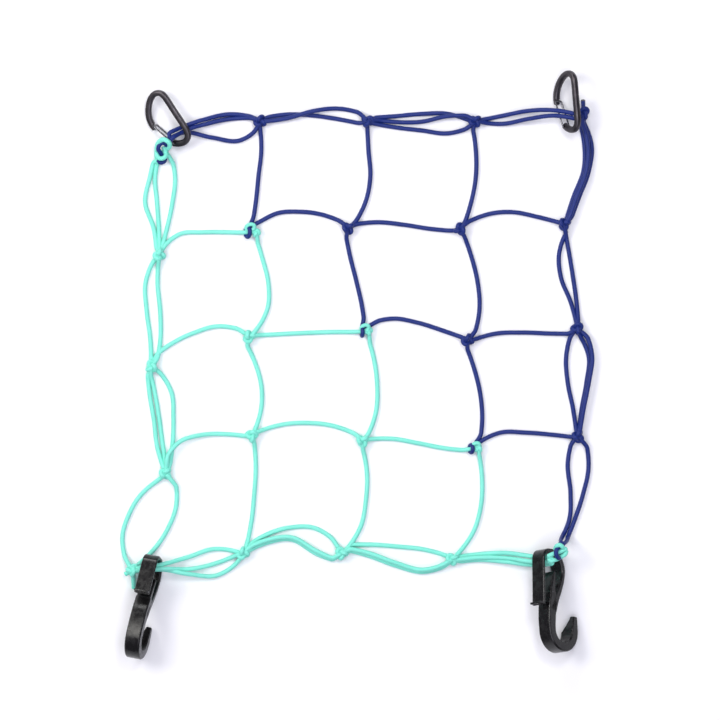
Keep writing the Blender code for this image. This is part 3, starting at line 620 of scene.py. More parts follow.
def add_blend(tree: Tree, share: Socket, first: str, second: str) -> Socket:
    """Blend two colours.

    Args:
        tree: The node tree that gets the blend.
        share: The socket of the second colour's share.
        first: The first colour, as hex digits after a hash sign.
        second: The second colour, likewise.

    Returns:
        The socket of the blended colour.
    """
    feeds = {"Factor": share, 6: linear(first), 7: linear(second)}
    return add_node(tree, "Mix", feeds, data_type="RGBA").outputs[2]


def add_relief(
    tree: Tree, shader: bpy.types.Node, height: Socket, depth_mm: float, strength: float = 1.0
) -> None:
    """Give a surface a fine relief.

    Args:
        tree: The surface shader's node tree.
        shader: The surface shader.
        height: The socket of the relief's height, from 0 to 1.
        depth_mm: The relief's depth, in millimetres.
        strength: How much of it the light shows.
    """
    bump = add_node(tree, "Bump", {"Height": height, "Distance": depth_mm * MM, "Strength": strength})
    tree.links.new(bump.outputs[0], shader.inputs["Normal"])


@dataclass(frozen=True)
class BraidedSheath:
    """Polyester yarn braided round a rubber core, as on elastic cord.

    The braid gives the eye fine crossing ridges and a soft shine along the cord. Its colour is a lit
    colour on the yarns' tops and a darker one in the gaps between them, which is painted shade. The
    sheath thins a little where the cord is stretched, so its tone drifts.
    """

    name: str
    # The cord's colour in light, and a darker copy of it that is painted shade in the gaps between yarns.
    lit: str
    gap_shade: str
    roughness: float = 0.42
    ior: float = 1.55
    specular: float = 0.25
    # Eight bundles of yarn lean each way round a 4 mm cord, 1.6 mm apart along it.
    bundles: float = 8.0
    bundle_mm: float = 1.6
    bundle_curve: float = 0.5
    relief_mm: float = 0.16
    relief: float = 0.6
    # The lit colour's share between the bundles and on top of them, and how far it drifts.
    between: float = 0.45
    on_top: float = 0.95
    drift: float = 0.16
    drift_mm: float = 24.0
    drift_detail: float = 3.0

    def material(self) -> bpy.types.Material:
        """Build the braid's material from each cord's own turns and millimetres.

        Returns:
            The material.
        """
        material, tree, shader = bare_material(self.name)
        place = add_node(tree, "UVMap", uv_map="cord").outputs["UV"]
        split = add_node(tree, "SeparateXYZ", {0: place})
        around = add_math(tree, "MULTIPLY", split.outputs[0], self.bundles)
        along = add_math(tree, "DIVIDE", split.outputs[1], self.bundle_mm)
        waves = []
        for operation in ("ADD", "SUBTRACT"):
            angle = add_math(tree, "MULTIPLY", add_math(tree, operation, around, along), math.pi)
            waves.append(add_math(tree, "ABSOLUTE", add_math(tree, "SINE", angle)))
        dome = add_math(tree, "POWER", add_math(tree, "MULTIPLY", *waves), self.bundle_curve)
        tone = add_cord_noise(tree, place, (1.0, 1 / self.drift_mm), self.drift_detail)
        shade = add_range(tree, dome, (0.0, 1.0), (self.between - self.drift, self.on_top))
        drift = add_range(tree, tone, NOISE_SPAN, (0.0, self.drift))
        share = add_math(tree, "ADD", shade, drift, use_clamp=True)
        # Painted shade: the colour goes from the lit one on the bundles' tops to the darker one in the
        # gaps.
        colour = add_blend(tree, share, self.gap_shade, self.lit)
        add_relief(tree, shader, dome, self.relief_mm, self.relief)
        tree.links.new(colour, shader.inputs["Base Color"])
        shader.inputs["Roughness"].default_value = self.roughness
        shader.inputs["IOR"].default_value = self.ior
        shader.inputs["Specular IOR Level"].default_value = self.specular
        return material


@dataclass(frozen=True)
class SearedEnd:
    """The cut end of a cord, seared with a flame, so the yarn is a hard uneven bead."""

    name: str
    colour: str
    roughness: float = 0.5
    ior: float = 1.55
    grain_mm: float = 0.5
    grain_detail: float = 4.0
    relief_mm: float = 0.2

    def material(self) -> bpy.types.Material:
        """Build the seared end's material.

        Returns:
            The material.
        """
        material, tree, shader = bare_material(self.name)
        place = add_node(tree, "TexCoord").outputs["Object"]
        grain = add_noise(tree, place, 1 / (self.grain_mm * MM), self.grain_detail)
        add_relief(tree, shader, grain, self.relief_mm)
        shader.inputs["Base Color"].default_value = linear(self.colour)
        shader.inputs["Roughness"].default_value = self.roughness
        shader.inputs["IOR"].default_value = self.ior
        return material


@dataclass(frozen=True)
class AnodisedAluminium:
    """Aluminium bar, hot forged, tumbled and anodised charcoal.

    Tumbling leaves a satin surface with a faint grain, and the coat is worn a little lighter in
    places where the bar rubs.
    """

    name: str
    colour: str
    rubbed: str
    # The grain makes the surface smoother and rougher by these.
    roughness: float = 0.38
    smoother: float = 0.05
    rougher: float = 0.07
    grain_mm: float = 0.35
    grain_detail: float = 2.0
    relief_mm: float = 0.02
    relief: float = 0.5
    # The coat goes from whole to rubbed over this span of the patches' noise.
    patch_mm: float = 9.0
    patch_detail: float = 3.0
    patch_span: tuple[float, float] = (0.45, 0.75)

    def material(self) -> bpy.types.Material:
        """Build the satin metal's material.

        Returns:
            The material.
        """
        material, tree, shader = bare_material(self.name)
        place = add_node(tree, "TexCoord").outputs["Object"]
        grain = add_noise(tree, place, 1 / (self.grain_mm * MM), self.grain_detail)
        patch = add_noise(tree, place, 1 / (self.patch_mm * MM), self.patch_detail)
        wear = add_range(tree, patch, self.patch_span, (0.0, 1.0))
        colour = add_blend(tree, wear, self.colour, self.rubbed)
        spread = (self.roughness - self.smoother, self.roughness + self.rougher)
        gloss = add_range(tree, grain, NOISE_SPAN, spread)
        add_relief(tree, shader, grain, self.relief_mm, self.relief)
        tree.links.new(colour, shader.inputs["Base Color"])
        tree.links.new(gloss, shader.inputs["Roughness"])
        shader.inputs["Metallic"].default_value = 1.0
        return material


@dataclass(frozen=True)
class DrawnSteelWire:
    """Stainless steel wire, drawn through a die, so fine lines run along it."""

    name: str
    colour: str
    roughness: float = 0.25
    # A line's width, as a share of the way round, and how many lines follow each other in 1 mm.
    line_share: float = 0.12
    lines_per_mm: float = 0.15
    line_detail: float = 2.0
    relief_mm: float = 0.02
    relief: float = 0.5

    def material(self) -> bpy.types.Material:
        """Build the drawn wire's material.

        Returns:
            The material.
        """
        material, tree, shader = bare_material(self.name)
        place = add_node(tree, "UVMap", uv_map="cord").outputs["UV"]
        rates = (1 / self.line_share, self.lines_per_mm)
        lines = add_cord_noise(tree, place, rates, self.line_detail)
        add_relief(tree, shader, lines, self.relief_mm, self.relief)
        shader.inputs["Base Color"].default_value = linear(self.colour)
        shader.inputs["Metallic"].default_value = 1.0
        shader.inputs["Roughness"].default_value = self.roughness
        return material


@dataclass(frozen=True)
class MouldedPolyamide:
    """Black polyamide, injection moulded in a polished mould.

    The skin is glossy, with a very fine orange-peel unevenness and dull scuffs from use.
    """

    name: str
    colour: str
    ior: float = 1.5
    specular: float = 0.4
    peel_mm: float = 3.2
    peel_detail: float = 2.0
    relief_mm: float = 0.01
    relief: float = 0.4
    # Scuffs come in over this span of their noise, from a cleaner skin to a duller one.
    roughness: float = 0.24
    cleaner: float = 0.05
    duller: float = 0.15
    scuff_mm: float = 5.0
    scuff_detail: float = 6.0
    scuff_span: tuple[float, float] = (0.4, 0.7)

    def material(self) -> bpy.types.Material:
        """Build the moulded plastic's material.

        Returns:
            The material.
        """
        material, tree, shader = bare_material(self.name)
        place = add_node(tree, "TexCoord").outputs["Object"]
        peel = add_noise(tree, place, 1 / (self.peel_mm * MM), self.peel_detail)
        scuff = add_noise(tree, place, 1 / (self.scuff_mm * MM), self.scuff_detail)
        spread = (self.roughness - self.cleaner, self.roughness + self.duller)
        gloss = add_range(tree, scuff, self.scuff_span, spread)
        add_relief(tree, shader, peel, self.relief_mm, self.relief)
        tree.links.new(gloss, shader.inputs["Roughness"])
        shader.inputs["Base Color"].default_value = linear(self.colour)
        shader.inputs["IOR"].default_value = self.ior
        shader.inputs["Specular IOR Level"].default_value = self.specular
        return material


# Each cord's lit colour, and its darker copy, which is painted shade for the gaps between the yarns.
BLUE_SHEATH = BraidedSheath("braided_polyester_blue", lit="#1A3080", gap_shade="#060B34")
MINT_SHEATH = BraidedSheath("braided_polyester_mint", lit="#92F6E3", gap_shade="#08A486")
SEARED_GREY = SearedEnd("seared_cord_end_grey", colour="#5B5C62")
SEARED_MINT = SearedEnd("seared_cord_end_mint", colour="#63E6CC")
CHARCOAL_BAR = AnodisedAluminium("anodised_aluminium_charcoal", colour="#4A474B", rubbed="#625E62")
STEEL_WIRE = DrawnSteelWire("drawn_stainless_wire", colour="#77777C")
BLACK_PLASTIC = MouldedPolyamide("moulded_polyamide_black", colour="#100F10")


def put(name: str, data: bpy.types.ID) -> Piece:
    """Make an object and put it in the scene.

    Args:
        name: The object's name.
        data: Its mesh, light or camera.

    Returns:
        The object.
    """
    thing = bpy.data.objects.new(name, data)
    bpy.context.scene.collection.objects.link(thing)
    return thing


def ease(t: float) -> float:
    """Smooth step from 0 to 1, held at both ends."""
    t = min(max(t, 0.0), 1.0)
    return t * t * (3 - 2 * t)


def flat(knot: Knot) -> Vector:
    """A knot's place on the surface."""
    return Vector((knot.x, knot.y, 0))


def smooth_path(points: list[Vector], steps: int) -> list[Vector]:
    """Put a smooth curve through points.

    Args:
        points: The points that it passes through.
        steps: Pieces between each two of them.

    Returns:
        The curve's points, the first and last of the given ones included.
    """
    path = []
    last = len(points) - 1
    for i in range(last):
        a, b, c, d = points[max(i - 1, 0)], points[i], points[i + 1], points[min(i + 2, last)]
        for step in range(steps):
            t = step / steps
            square = (a * 2 - b * 5 + c * 4 - d) * t**2
            cube = (b * 3 - a - c * 3 + d) * t**3
            path.append((b * 2 + (c - a) * t + square + cube) / 2)
    return path + [points[last]]


def directions(path: list[Vector], closed: bool) -> list[Vector]:
    """Find which way a path runs at each of its points.

    Args:
        path: The path's points.
        closed: Whether its end meets its start.

    Returns:
        A direction of length 1 at each point.
    """
    ways = []
    last = len(path) - 1
    for i, point in enumerate(path):
        before = path[i - 1] if closed or i else point
        after = path[(i + 1) % len(path)] if closed or i < last else point
        ways.append((after - before).normalized())
    return ways


def distances(path: list[Vector]) -> list[float]:
    """Measure how far along a path its points lie.

    Args:
        path: The path's points.

    Returns:
        Each point's distance from the first, along the path.
    """
    runs = [0.0]
    for before, after in zip(path, path[1:]):
        runs.append(runs[-1] + (after - before).length)
    return runs


def even(radius: float, path: list[Vector]) -> list[tuple[float, float]]:
    """Give every point of a path the same radius, both ways."""
    return [(radius, radius)] * len(path)


def carried_normals(path: list[Vector], closed: bool) -> list[Vector]:
    """Carry a side direction along a path with no twist of its own.

    Args:
        path: The path's points.
        closed: Whether its end meets its start.

    Returns:
        A direction square to the path at each point, which meets itself again on a closed path.
    """
    tangents = directions(path, closed)
    start = UP if abs(tangents[0].dot(UP)) < STEEP else Vector((1, 0, 0))
    normals = [(start - tangents[0] * start.dot(tangents[0])).normalized()]
    for tangent in tangents[1:]:
        normals.append((normals[-1] - tangent * normals[-1].dot(tangent)).normalized())
    if closed:
        back = (normals[-1] - tangents[0] * normals[-1].dot(tangents[0])).normalized()
        missing = math.atan2(back.cross(normals[0]).dot(tangents[0]), back.dot(normals[0]))
        for i, tangent in enumerate(tangents):
            normals[i] = Matrix.Rotation(missing * i / len(path), 3, tangent) @ normals[i]
    return normals


def oval(sides: int, squareness: float = 2.0) -> list[tuple[float, float]]:
    """Draw a section's outline, of size 1.

    Args:
        sides: How many points it has.
        squareness: 2 for a circle, and more for one with flatter sides.

    Returns:
        The outline's points, across and up.
    """
    outline = []
    for k in range(sides):
        angle = 2 * math.pi * k / sides
        c, s = math.cos(angle), math.sin(angle)
        reach = (abs(c) ** squareness + abs(s) ** squareness) ** (-1 / squareness)
        outline.append((c * reach, s * reach))
    return outline


@dataclass
class Skin:
    """Rings of points that gather into one mesh, with a place along and round each face."""

    points: list[Vector] = field(default_factory=list)
    faces: list[tuple[int, ...]] = field(default_factory=list)
    places: list[list[tuple[float, float]]] = field(default_factory=list)
    finishes: list[int] = field(default_factory=list)

    def add_rings(
        self, rings: list[list[Vector]], runs: list[float], closed: bool = False, finish: int = 0
    ) -> None:
        """Skin rings of points, each as long as the next.

        Args:
            rings: The rings, in order.
            runs: Each ring's distance along the piece, in millimetres.
            closed: Whether the last ring meets the first.
            finish: Which of the mesh's materials the faces take.
        """
        base = len(self.points)
        sides = len(rings[0])
        for ring in rings:
            self.points.extend(ring)
        spans = len(rings) if closed else len(rings) - 1
        for i in range(spans):
            a = base + i * sides
            b = base + (i + 1) % len(rings) * sides
            low = runs[i]
            high = runs[i + 1] if i + 1 < len(runs) else runs[i] + (runs[1] - runs[0])
            for k in range(sides):
                n = (k + 1) % sides
                left, right = k / sides, (k + 1) / sides
                self.faces.append((a + k, a + n, b + n, b + k))
                self.places.append([(left, low), (right, low), (right, high), (left, high)])
                self.finishes.append(finish)
        if not closed:
            last = base + (len(rings) - 1) * sides
            caps = (tuple(reversed(range(base, base + sides))), tuple(range(last, last + sides)))
            for cap, run in zip(caps, (runs[0], runs[-1])):
                self.faces.append(cap)
                self.places.append([(0.0, run)] * sides)
                self.finishes.append(finish)

    def add_tube(
        self,
        path: list[Vector],
        radii: list[tuple[float, float]],
        outline: list[tuple[float, float]],
        normals: list[Vector] | None = None,
        closed: bool = False,
        round_ends: float = 0.0,
        finish: int = 0,
    ) -> None:
        """Skin a tube round a path.

        Args:
            path: The tube's centre line.
            radii: Half its width across the normal and half its height along it, at each point.
            outline: The section's outline, of size 1.
            normals: Directions for the section's height, or none to carry one along the path.
            closed: Whether the path's end meets its start.
            round_ends: How far each rounded end stands out, as a share of the radius.
            finish: Which of the mesh's materials the tube takes.
        """
        normals = normals or carried_normals(path, closed)
        rings = []
        for centre, along, normal, (wide, high) in zip(path, directions(path, closed), normals, radii):
            across = along.cross(normal).normalized()
            upward = across.cross(along)
            rings.append([centre + across * (-x * wide) + upward * (y * high) for x, y in outline])
        runs = distances(path)
        if round_ends and not closed:
            rings, runs = self.with_round_ends(path, rings, runs, radii, round_ends)
        self.add_rings(rings, runs, closed, finish)

    @staticmethod
    def with_round_ends(
        path: list[Vector],
        rings: list[list[Vector]],
        runs: list[float],
        radii: list[tuple[float, float]],
        share: float,
    ) -> tuple[list[list[Vector]], list[float]]:
        """Add shrinking rings to both ends of a tube.

        Args:
            path: The tube's centre line.
            rings: Its rings.
            runs: Each ring's distance along it.
            radii: Each ring's two radii.
            share: How far an end stands out, as a share of its radius.

        Returns:
            All the rings and their distances.
        """
        head, tail = [], []
        for step in range(1, END_RINGS + 1):
            angle = math.pi / 2 * step / (END_RINGS + END_SHORT)
            for end, near, out in ((0, 1, head), (-1, -2, tail)):
                away = (path[end] - path[near]).normalized()
                shift = away * (math.sin(angle) * share * max(radii[end]))
                size = math.cos(angle)
                out.append([path[end] + (p - path[end]) * size + shift for p in rings[end]])
        whole = head[::-1] + rings + tail
        return whole, [runs[0]] * END_RINGS + runs + [runs[-1]] * END_RINGS

    def make(self, name: str, materials: list[bpy.types.Material]) -> Piece:
        """Make the mesh object, in metres from the scene's origin.

        Args:
            name: The piece's name.
            materials: Its materials, in the order of the faces' finish numbers.

        Returns:
            The object, linked to the scene.
        """
        mesh = bpy.data.meshes.new(name)
        mesh.from_pydata([tuple((p - CENTRE) * MM) for p in self.points], [], self.faces)
        layer = mesh.uv_layers.new(name="cord")
        corners = [place for face in self.places for place in face]
        layer.data.foreach_set("uv", [value for corner in corners for value in corner])
        mesh.polygons.foreach_set("material_index", self.finishes)
        mesh.polygons.foreach_set("use_smooth", [True] * len(mesh.polygons))
        mesh.update()
        for material in materials:
            mesh.materials.append(material)
        return put(name, mesh)


def knot_point(name: str, x: float = 0.0, y: float = 0.0, z: float = 0.0) -> Vector:
    """Place a point at some distance from a knot's middle."""
    knot = KNOTS[name]
    return Vector((knot.x + x, knot.y + y, knot.height + z))


def report_piece(piece: Piece) -> None:
    """Log a finished piece's name and face count."""
    log.info("%s: %d faces", piece.name, len(piece.data.polygons))


@dataclass
class NetHalf:
    """One colour's half of the net: its strands, its knots and its cord ends."""

    colour: CordColour
    sheath: BraidedSheath
    seared: SearedEnd
    slot: Slot
    cord_radius: float = CORD_RADIUS
    sides: int = 14
    # Strands: their pieces, how the cord's thickness drifts, and how they meet the knots.
    step: float = 1.8
    least_pieces: int = 12
    thickness_drift: float = 0.03
    drift_per_mm: float = 0.03
    rise: float = 15.0
    rest_room: float = 1.6
    end_pull: float = 9.0
    end_spread: float = 0.9
    link_pull: float = 13.0
    link_radius: float = 1.75
    lanes: dict[str, float] = field(default_factory=lambda: {"a": -1.2, "b": 1.3, "c": 0.0, "d": 0.6})
    # Overhand knots: their size, how they lean and turn, and how much thinner a small one's cord is.
    knot_reach: float = 1.5
    knot_rise: float = 1.9
    knot_lean: float = 32.0
    lean_spread: float = 0.3
    lean_row: tuple[float, float] = (0.5, 0.2)
    knot_spin: float = 47.0
    knot_thins: float = 0.45
    knot_steps: int = 72
    # Plain two-colour knots: the blue ring and its foot, where blue strands meet it from above
    # and from the side, the green turn's long and short half, and the green lump.
    ring_radius: float = 1.85
    ring_half_z: float = 3.6
    ring_steps: int = 36
    foot_x: float = -3.0
    foot_from_above: float = -1.0
    foot_from_side: float = 0.8
    cap_rise: float = 1.6
    cap_share: float = 0.72
    cap_long: tuple[float, float] = (0.9, 0.6)
    cap_short: tuple[float, float] = (-0.5, 1.0)
    lump_turn: float = 55.0
    lump_size: float = 0.66
    # Turns of the corner knots.
    loop_steps: int = 6
    loop_round: float = 0.6
    # Cord ends, and where on each its seared bead starts and ends and how far it stands out.
    tail_steps: int = 8
    bead_back: tuple[float, float] = (1.2, 0.2)
    bead_swell: tuple[float, float] = (1.06, 1.04)
    bead_round: float = 0.35

    def link_landing(self, strand: Strand, name: str) -> Vector:
        """Find where a strand's end meets its own colour in a two-colour knot.

        Args:
            strand: The strand.
            name: The knot at that end.

        Returns:
            The point that its axis ends in.
        """
        here = flat(KNOTS[name])
        if name not in LINK_LOOKS:
            return here + LANDINGS[strand.name]
        if strand.colour == CordColour.MINT.value:
            return knot_point(name, LINK_LOOKS[name].lump_x, LINK_LOOKS[name].lump_y)
        away = flat(KNOTS[strand.end if name == strand.start else strand.start]) - here
        foot = self.foot_from_above if away.y > abs(away.x) else self.foot_from_side
        return knot_point(name, self.foot_x, foot, -self.ring_half_z)

    def height(self, strand: Strand, length: float, along: float, ends: tuple[float, float]) -> float:
        """Give the height of a strand's axis, at rest on the surface but for its knots and lifts.

        Args:
            strand: The strand.
            length: The distance between its knots.
            along: How far along that the point is.
            ends: Its height at its two knots.

        Returns:
            The height in millimetres.
        """
        lifts = LIFTS.get(strand.name, ())
        keys = [(0.0, ends[0]), (length, ends[1]), *lifts]
        first = min((a for a, _ in lifts), default=length)
        last = max((a for a, _ in lifts), default=0.0)
        if first > self.rise * self.rest_room:
            keys.append((self.rise, self.cord_radius))
        if last < length - self.rise * self.rest_room:
            keys.append((max(length - self.rise, last + self.rise), self.cord_radius))
        keys.sort()
        for (a, low), (b, high) in zip(keys, keys[1:]):
            if along <= b:
                return low + (high - low) * ease((along - a) / (b - a))
        return keys[-1][1]

    def strand_shape(self, strand: Strand) -> tuple[list[Vector], list[tuple[float, float]]]:
        """Work out a strand's path and its radii from one knot to the other.

        Args:
            strand: The strand.

        Returns:
            The path's points and the radii there.
        """
        start, end = KNOTS[strand.start], KNOTS[strand.end]
        chord = flat(end) - flat(start)
        length = chord.length
        left = UP.cross(chord).normalized()
        ends = ((strand.start, start, strand.at_0), (strand.end, end, strand.at_100))
        landings = []
        for name, knot, offset in ends:
            if knot.kind == "link":
                landings.append(self.link_landing(strand, name))
                continue
            kept = min(max(offset, -self.end_spread), self.end_spread)
            place = flat(knot) + left * kept
            landings.append(Vector((place.x, place.y, knot.height + self.lanes[strand.name[-1]])))
        pieces = max(self.least_pieces, round(length / self.step))
        points, radii = [], []
        for piece in range(pieces + 1):
            t = piece / pieces
            point = flat(start) + chord * t + left * strand.sideways(t)
            drift = noise.noise(point * self.drift_per_mm)
            radius = self.cord_radius * (1 + self.thickness_drift * drift)
            nears = (t * length, (1 - t) * length)
            for (name, knot, offset), landing, near in zip(ends, landings, nears):
                linked = knot.kind == "link"
                reach = SHORT_PULL.get(name, self.link_pull) if linked else self.end_pull
                shift = landing - (flat(knot) + left * offset)
                point += Vector((shift.x, shift.y, 0)) * ease(1 - near / reach)
                if linked:
                    radius += (self.link_radius - self.cord_radius) * ease(1 - near / self.link_pull)
            point.z = self.height(strand, length, t * length, (landings[0].z, landings[1].z))
            point.z = max(point.z, radius)
            points.append(point)
            radii.append((radius, radius))
        return points, radii

    def add_knot(self, skin: Skin, centre: Vector, turn: float, size: float, seed: int) -> None:
        """Tie an overhand knot, drawn tight.

        Args:
            skin: The mesh that gets it.
            centre: The knot's middle.
            turn: Its axis, from the X axis, in degrees.
            size: Its size against a plain knot's.
            seed: A number of its own, for how it leans.
        """
        axis = Vector((math.cos(math.radians(turn)), math.sin(math.radians(turn)), 0))
        change = self.lean_spread * noise.noise(Vector((seed, *self.lean_row)))
        lean = self.knot_lean * (1 if seed % 2 else -1) * (1 + change)
        placed = Matrix.Rotation(math.radians(lean), 3, axis)
        placed = placed @ Matrix.Rotation(math.radians(turn + self.knot_spin * seed), 3, "Z")
        radius = self.cord_radius * (1 - self.knot_thins + self.knot_thins * size)
        path = []
        for k in range(self.knot_steps):
            t = 2 * math.pi * k / self.knot_steps
            across = (math.sin(t) + 2 * math.sin(2 * t)) * self.knot_reach
            up = (math.cos(t) - 2 * math.cos(2 * t)) * self.knot_reach
            path.append(centre + placed @ Vector((across, up, -self.knot_rise * math.sin(3 * t))) * size)
        lowest = min(point.z for point in path) - radius
        if lowest < 0:
            path = [point - UP * lowest for point in path]
        skin.add_tube(path, even(radius, path), oval(self.sides), closed=True)

    def add_loops(self, skin: Skin, name: str) -> None:
        """Lay this colour's turns of a corner knot.

        Args:
            skin: The mesh that gets them.
            name: The knot's name.
        """
        for loop in LOOPS:
            if loop.knot == name and loop.colour == self.colour.value:
                points = [flat(KNOTS[name]) + Vector(point) for point in loop.points]
                path = smooth_path(points, self.loop_steps)
                skin.add_tube(path, even(loop.radius, path), oval(self.sides), round_ends=self.loop_round)

    def add_link(self, skin: Skin, name: str, seed: int) -> None:
        """Bend this colour's turn of a plain two-colour knot, and tie the green one's lump.

        Args:
            skin: The mesh that gets it.
            name: The knot's name.
            seed: A number of its own, for how the lump leans.
        """
        look = LINK_LOOKS[name]
        blue = self.colour is CordColour.BLUE
        if blue:
            lean = math.radians(look.lean)
            long = Vector((0, look.ring_half, 0))
            short = Vector((math.sin(lean), 0, math.cos(lean))) * self.ring_half_z
            centre = knot_point(name, look.ring_x, look.ring_y)
        else:
            long = Vector((look.cap_half, *self.cap_long))
            short = Vector((self.cap_short[0], look.cap_half * self.cap_share, self.cap_short[1]))
            centre = knot_point(name, look.cap_x, look.cap_y, self.cap_rise)
        path = []
        for k in range(self.ring_steps):
            angle = 2 * math.pi * k / self.ring_steps
            path.append(centre + long * math.cos(angle) + short * math.sin(angle))
        radius = self.ring_radius if blue else self.link_radius
        skin.add_tube(path, even(radius, path), oval(self.sides), closed=True)
        if not blue:
            lump = knot_point(name, look.lump_x, look.lump_y)
            self.add_knot(skin, lump, self.lump_turn, self.lump_size, seed)

    def add_tail(self, skin: Skin, tail: Tail) -> None:
        """Lead a short cord end out of its knot to its seared bead.

        Args:
            skin: The mesh that gets it.
            tail: Where it goes.
        """
        start = knot_point(tail.knot)
        end = Vector((tail.x, tail.y, max(tail.height, self.cord_radius)))
        path = [start.lerp(end, k / self.tail_steps) for k in range(self.tail_steps + 1)]
        skin.add_tube(path, even(self.cord_radius, path), oval(self.sides))
        away = (end - start).normalized()
        bead = [end - away * back for back in self.bead_back]
        radii = [(self.cord_radius * swell,) * 2 for swell in self.bead_swell]
        skin.add_tube(bead, radii, oval(self.sides), round_ends=self.bead_round, finish=1)

    def build(self) -> Piece:
        """Build this half of the net.

        Returns:
            The piece, which rides on the net's body.
        """
        skin = Skin()
        for strand in STRANDS:
            if strand.colour == self.colour.value:
                points, radii = self.strand_shape(strand)
                skin.add_tube(points, radii, oval(self.sides), normals=[UP] * len(points))
        for seed, (name, knot) in enumerate(KNOTS.items()):
            if knot.kind == self.colour.value:
                self.add_knot(skin, knot_point(name), knot.turn, 1.0, seed)
            elif name in LINK_LOOKS:
                self.add_link(skin, name, seed)
            elif knot.kind == "link":
                self.add_loops(skin, name)
        for tail in TAILS:
            if KNOTS[tail.knot].kind == self.colour.value:
                self.add_tail(skin, tail)
        piece = skin.make(f"cord_{self.colour.value}", [self.sheath.material(), self.seared.material()])
        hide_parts(f"net_{self.colour.value}")
        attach(piece, "net")
        return piece


@dataclass
class SnapHook:
    """A snap hook: a bent bar with a hole and a notch, and a sprung gate of bent wire."""

    snap: Snap
    # The bar's section, and its flat end at the gate, which blends in along the first bends.
    bar_radius: float = BAR_RADIUS
    squareness: float = 3.2
    end_wide: float = 2.9
    end_half: float = 2.3
    end_bends: int = 2
    blend_start: float = 0.6
    blend_length: float = 0.8
    end_round: float = 0.42
    bar_sides: int = 28
    bar_steps: int = 7
    # The cut edges' rounding, in millimetres, and how sharp an edge has to be for it, in degrees.
    edge_mm: float = 0.25
    edge_segments: int = 2
    edge_angle: float = 50.0
    hole_radius: float = 1.25
    cut_reach: float = 6.0
    cut_sides: int = 24
    wire_radius: float = 0.75
    wire_sides: int = 14
    gate_half: float = 3.6
    gate_corner: float = 1.5
    corner_steps: int = 5

    def axes(self) -> tuple[Vector, Vector, Vector]:
        """Find the hook's own directions.

        Returns:
            Up its spine, across to its nose and square to both.
        """
        turn = math.radians(self.snap.heading)
        tilt = math.radians(self.snap.tilt)
        up = Vector((math.cos(turn), math.sin(turn), 0))
        across = UP.cross(up) * math.cos(tilt) - UP * math.sin(tilt)
        return up, across, up.cross(across)

    def point(self, across: float, up: float, off: float = 0.0) -> Vector:
        """Place a point of the hook.

        Args:
            across: Distance from the spine towards the nose.
            up: Distance up the spine.
            off: Distance square to the hook's plane.

        Returns:
            The point in the photograph's millimetres.
        """
        axes = self.axes()
        raised = self.snap.nose_height + NOSE_WIDTH * math.sin(math.radians(self.snap.tilt))
        base = Vector((self.snap.x, self.snap.y, raised))
        return base + axes[0] * up + axes[1] * across + axes[2] * off

    def cutters(self) -> list[Piece]:
        """Make the shapes to cut away.

        Returns:
            The gate's hole and the nose's notch.
        """
        up, across, off = self.axes()
        hole = Skin()
        ends = [self.point(PIVOT.across, PIVOT.up, reach) for reach in (-self.cut_reach, self.cut_reach)]
        hole.add_tube(ends, even(self.hole_radius, ends), oval(self.cut_sides), normals=[up, up])
        notch = Skin()
        corner = self.point(NOTCH["across"] - self.cut_reach, NOTCH["low"], -self.cut_reach)
        first = up * (NOTCH["high"] - NOTCH["low"])
        second = across * self.cut_reach
        faces = []
        for step in (0.0, self.cut_reach * 2):
            base = corner + off * step
            faces.append([base, base + first, base + first + second, base + second])
        notch.add_rings(faces, [0.0, 1.0])
        return [
            hole.make(f"cut_hole_{self.snap.side}", []),
            notch.make(f"cut_notch_{self.snap.side}", []),
        ]

    def bar(self) -> Piece:
        """Bend the bar, then cut its hole and notch.

        Returns:
            The piece, which rides on the net's body.
        """
        path = smooth_path([self.point(bend.across, bend.up) for bend in BAR], self.bar_steps)
        radii = []
        end_points = self.end_bends * self.bar_steps
        for i in range(len(path)):
            share = ease((i - end_points * self.blend_start) / (end_points * self.blend_length))
            wide = self.end_wide + (self.bar_radius - self.end_wide) * share
            high = self.end_half + (self.bar_radius - self.end_half) * share
            radii.append((wide, high))
        skin = Skin()
        outline = oval(self.bar_sides, self.squareness)
        normals = [self.axes()[2]] * len(path)
        skin.add_tube(path, radii, outline, normals, round_ends=self.end_round)
        piece = skin.make(f"snap_bar_{self.snap.side}", [])
        for cutter in self.cutters():
            cut = piece.modifiers.new("cut", "BOOLEAN")
            cut.operation = "DIFFERENCE"
            cut.solver = "EXACT"
            cut.object = cutter
        piece = settled(piece)
        edge = piece.modifiers.new("edge", "BEVEL")
        edge.width = self.edge_mm * MM
        edge.segments = self.edge_segments
        edge.limit_method = "ANGLE"
        edge.angle_limit = math.radians(self.edge_angle)
        piece.data.materials.append(CHARCOAL_BAR.material())
        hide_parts(f"carabiner_{self.snap.side}")
        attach(piece, "net")
        return piece

    def gate(self) -> Piece:
        """Bend the wire gate: a pin through the bar, two legs and a closed end in the notch.

        Returns:
            The piece, which rides on the gate's own body.
        """
        low = self.point(PIVOT.across, PIVOT.up)
        high = self.point(GATE_TIP.across, GATE_TIP.up)
        along = (high - low).normalized()
        out = self.axes()[2]
        corners = []
        for base, inward in ((low, along), (high, -along)):
            for side in (-1, 1) if base is high else (1, -1):
                bend = base + out * side * (self.gate_half - self.gate_corner) + inward * self.gate_corner
                arc = []
                for step in range(self.corner_steps + 1):
                    angle = math.pi / 2 * step / self.corner_steps
                    leg = out * side * math.sin(angle) - inward * math.cos(angle)
                    arc.append(bend + leg * self.gate_corner)
                corners.append(arc)
        first, second, third, fourth = corners
        loop = first + fourth[::-1] + third + second[::-1]
        skin = Skin()
        skin.add_tube(loop, even(self.wire_radius, loop), oval(self.wire_sides), closed=True)
        piece = skin.make(f"wire_gate_{self.snap.side}", [STEEL_WIRE.material()])
        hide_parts(f"gate_{self.snap.side}")
        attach(piece, f"{self.snap.side}_gate")
        return piece

    def build(self) -> list[Piece]:
        """Build the bar and its gate."""
        return [self.bar(), self.gate()]


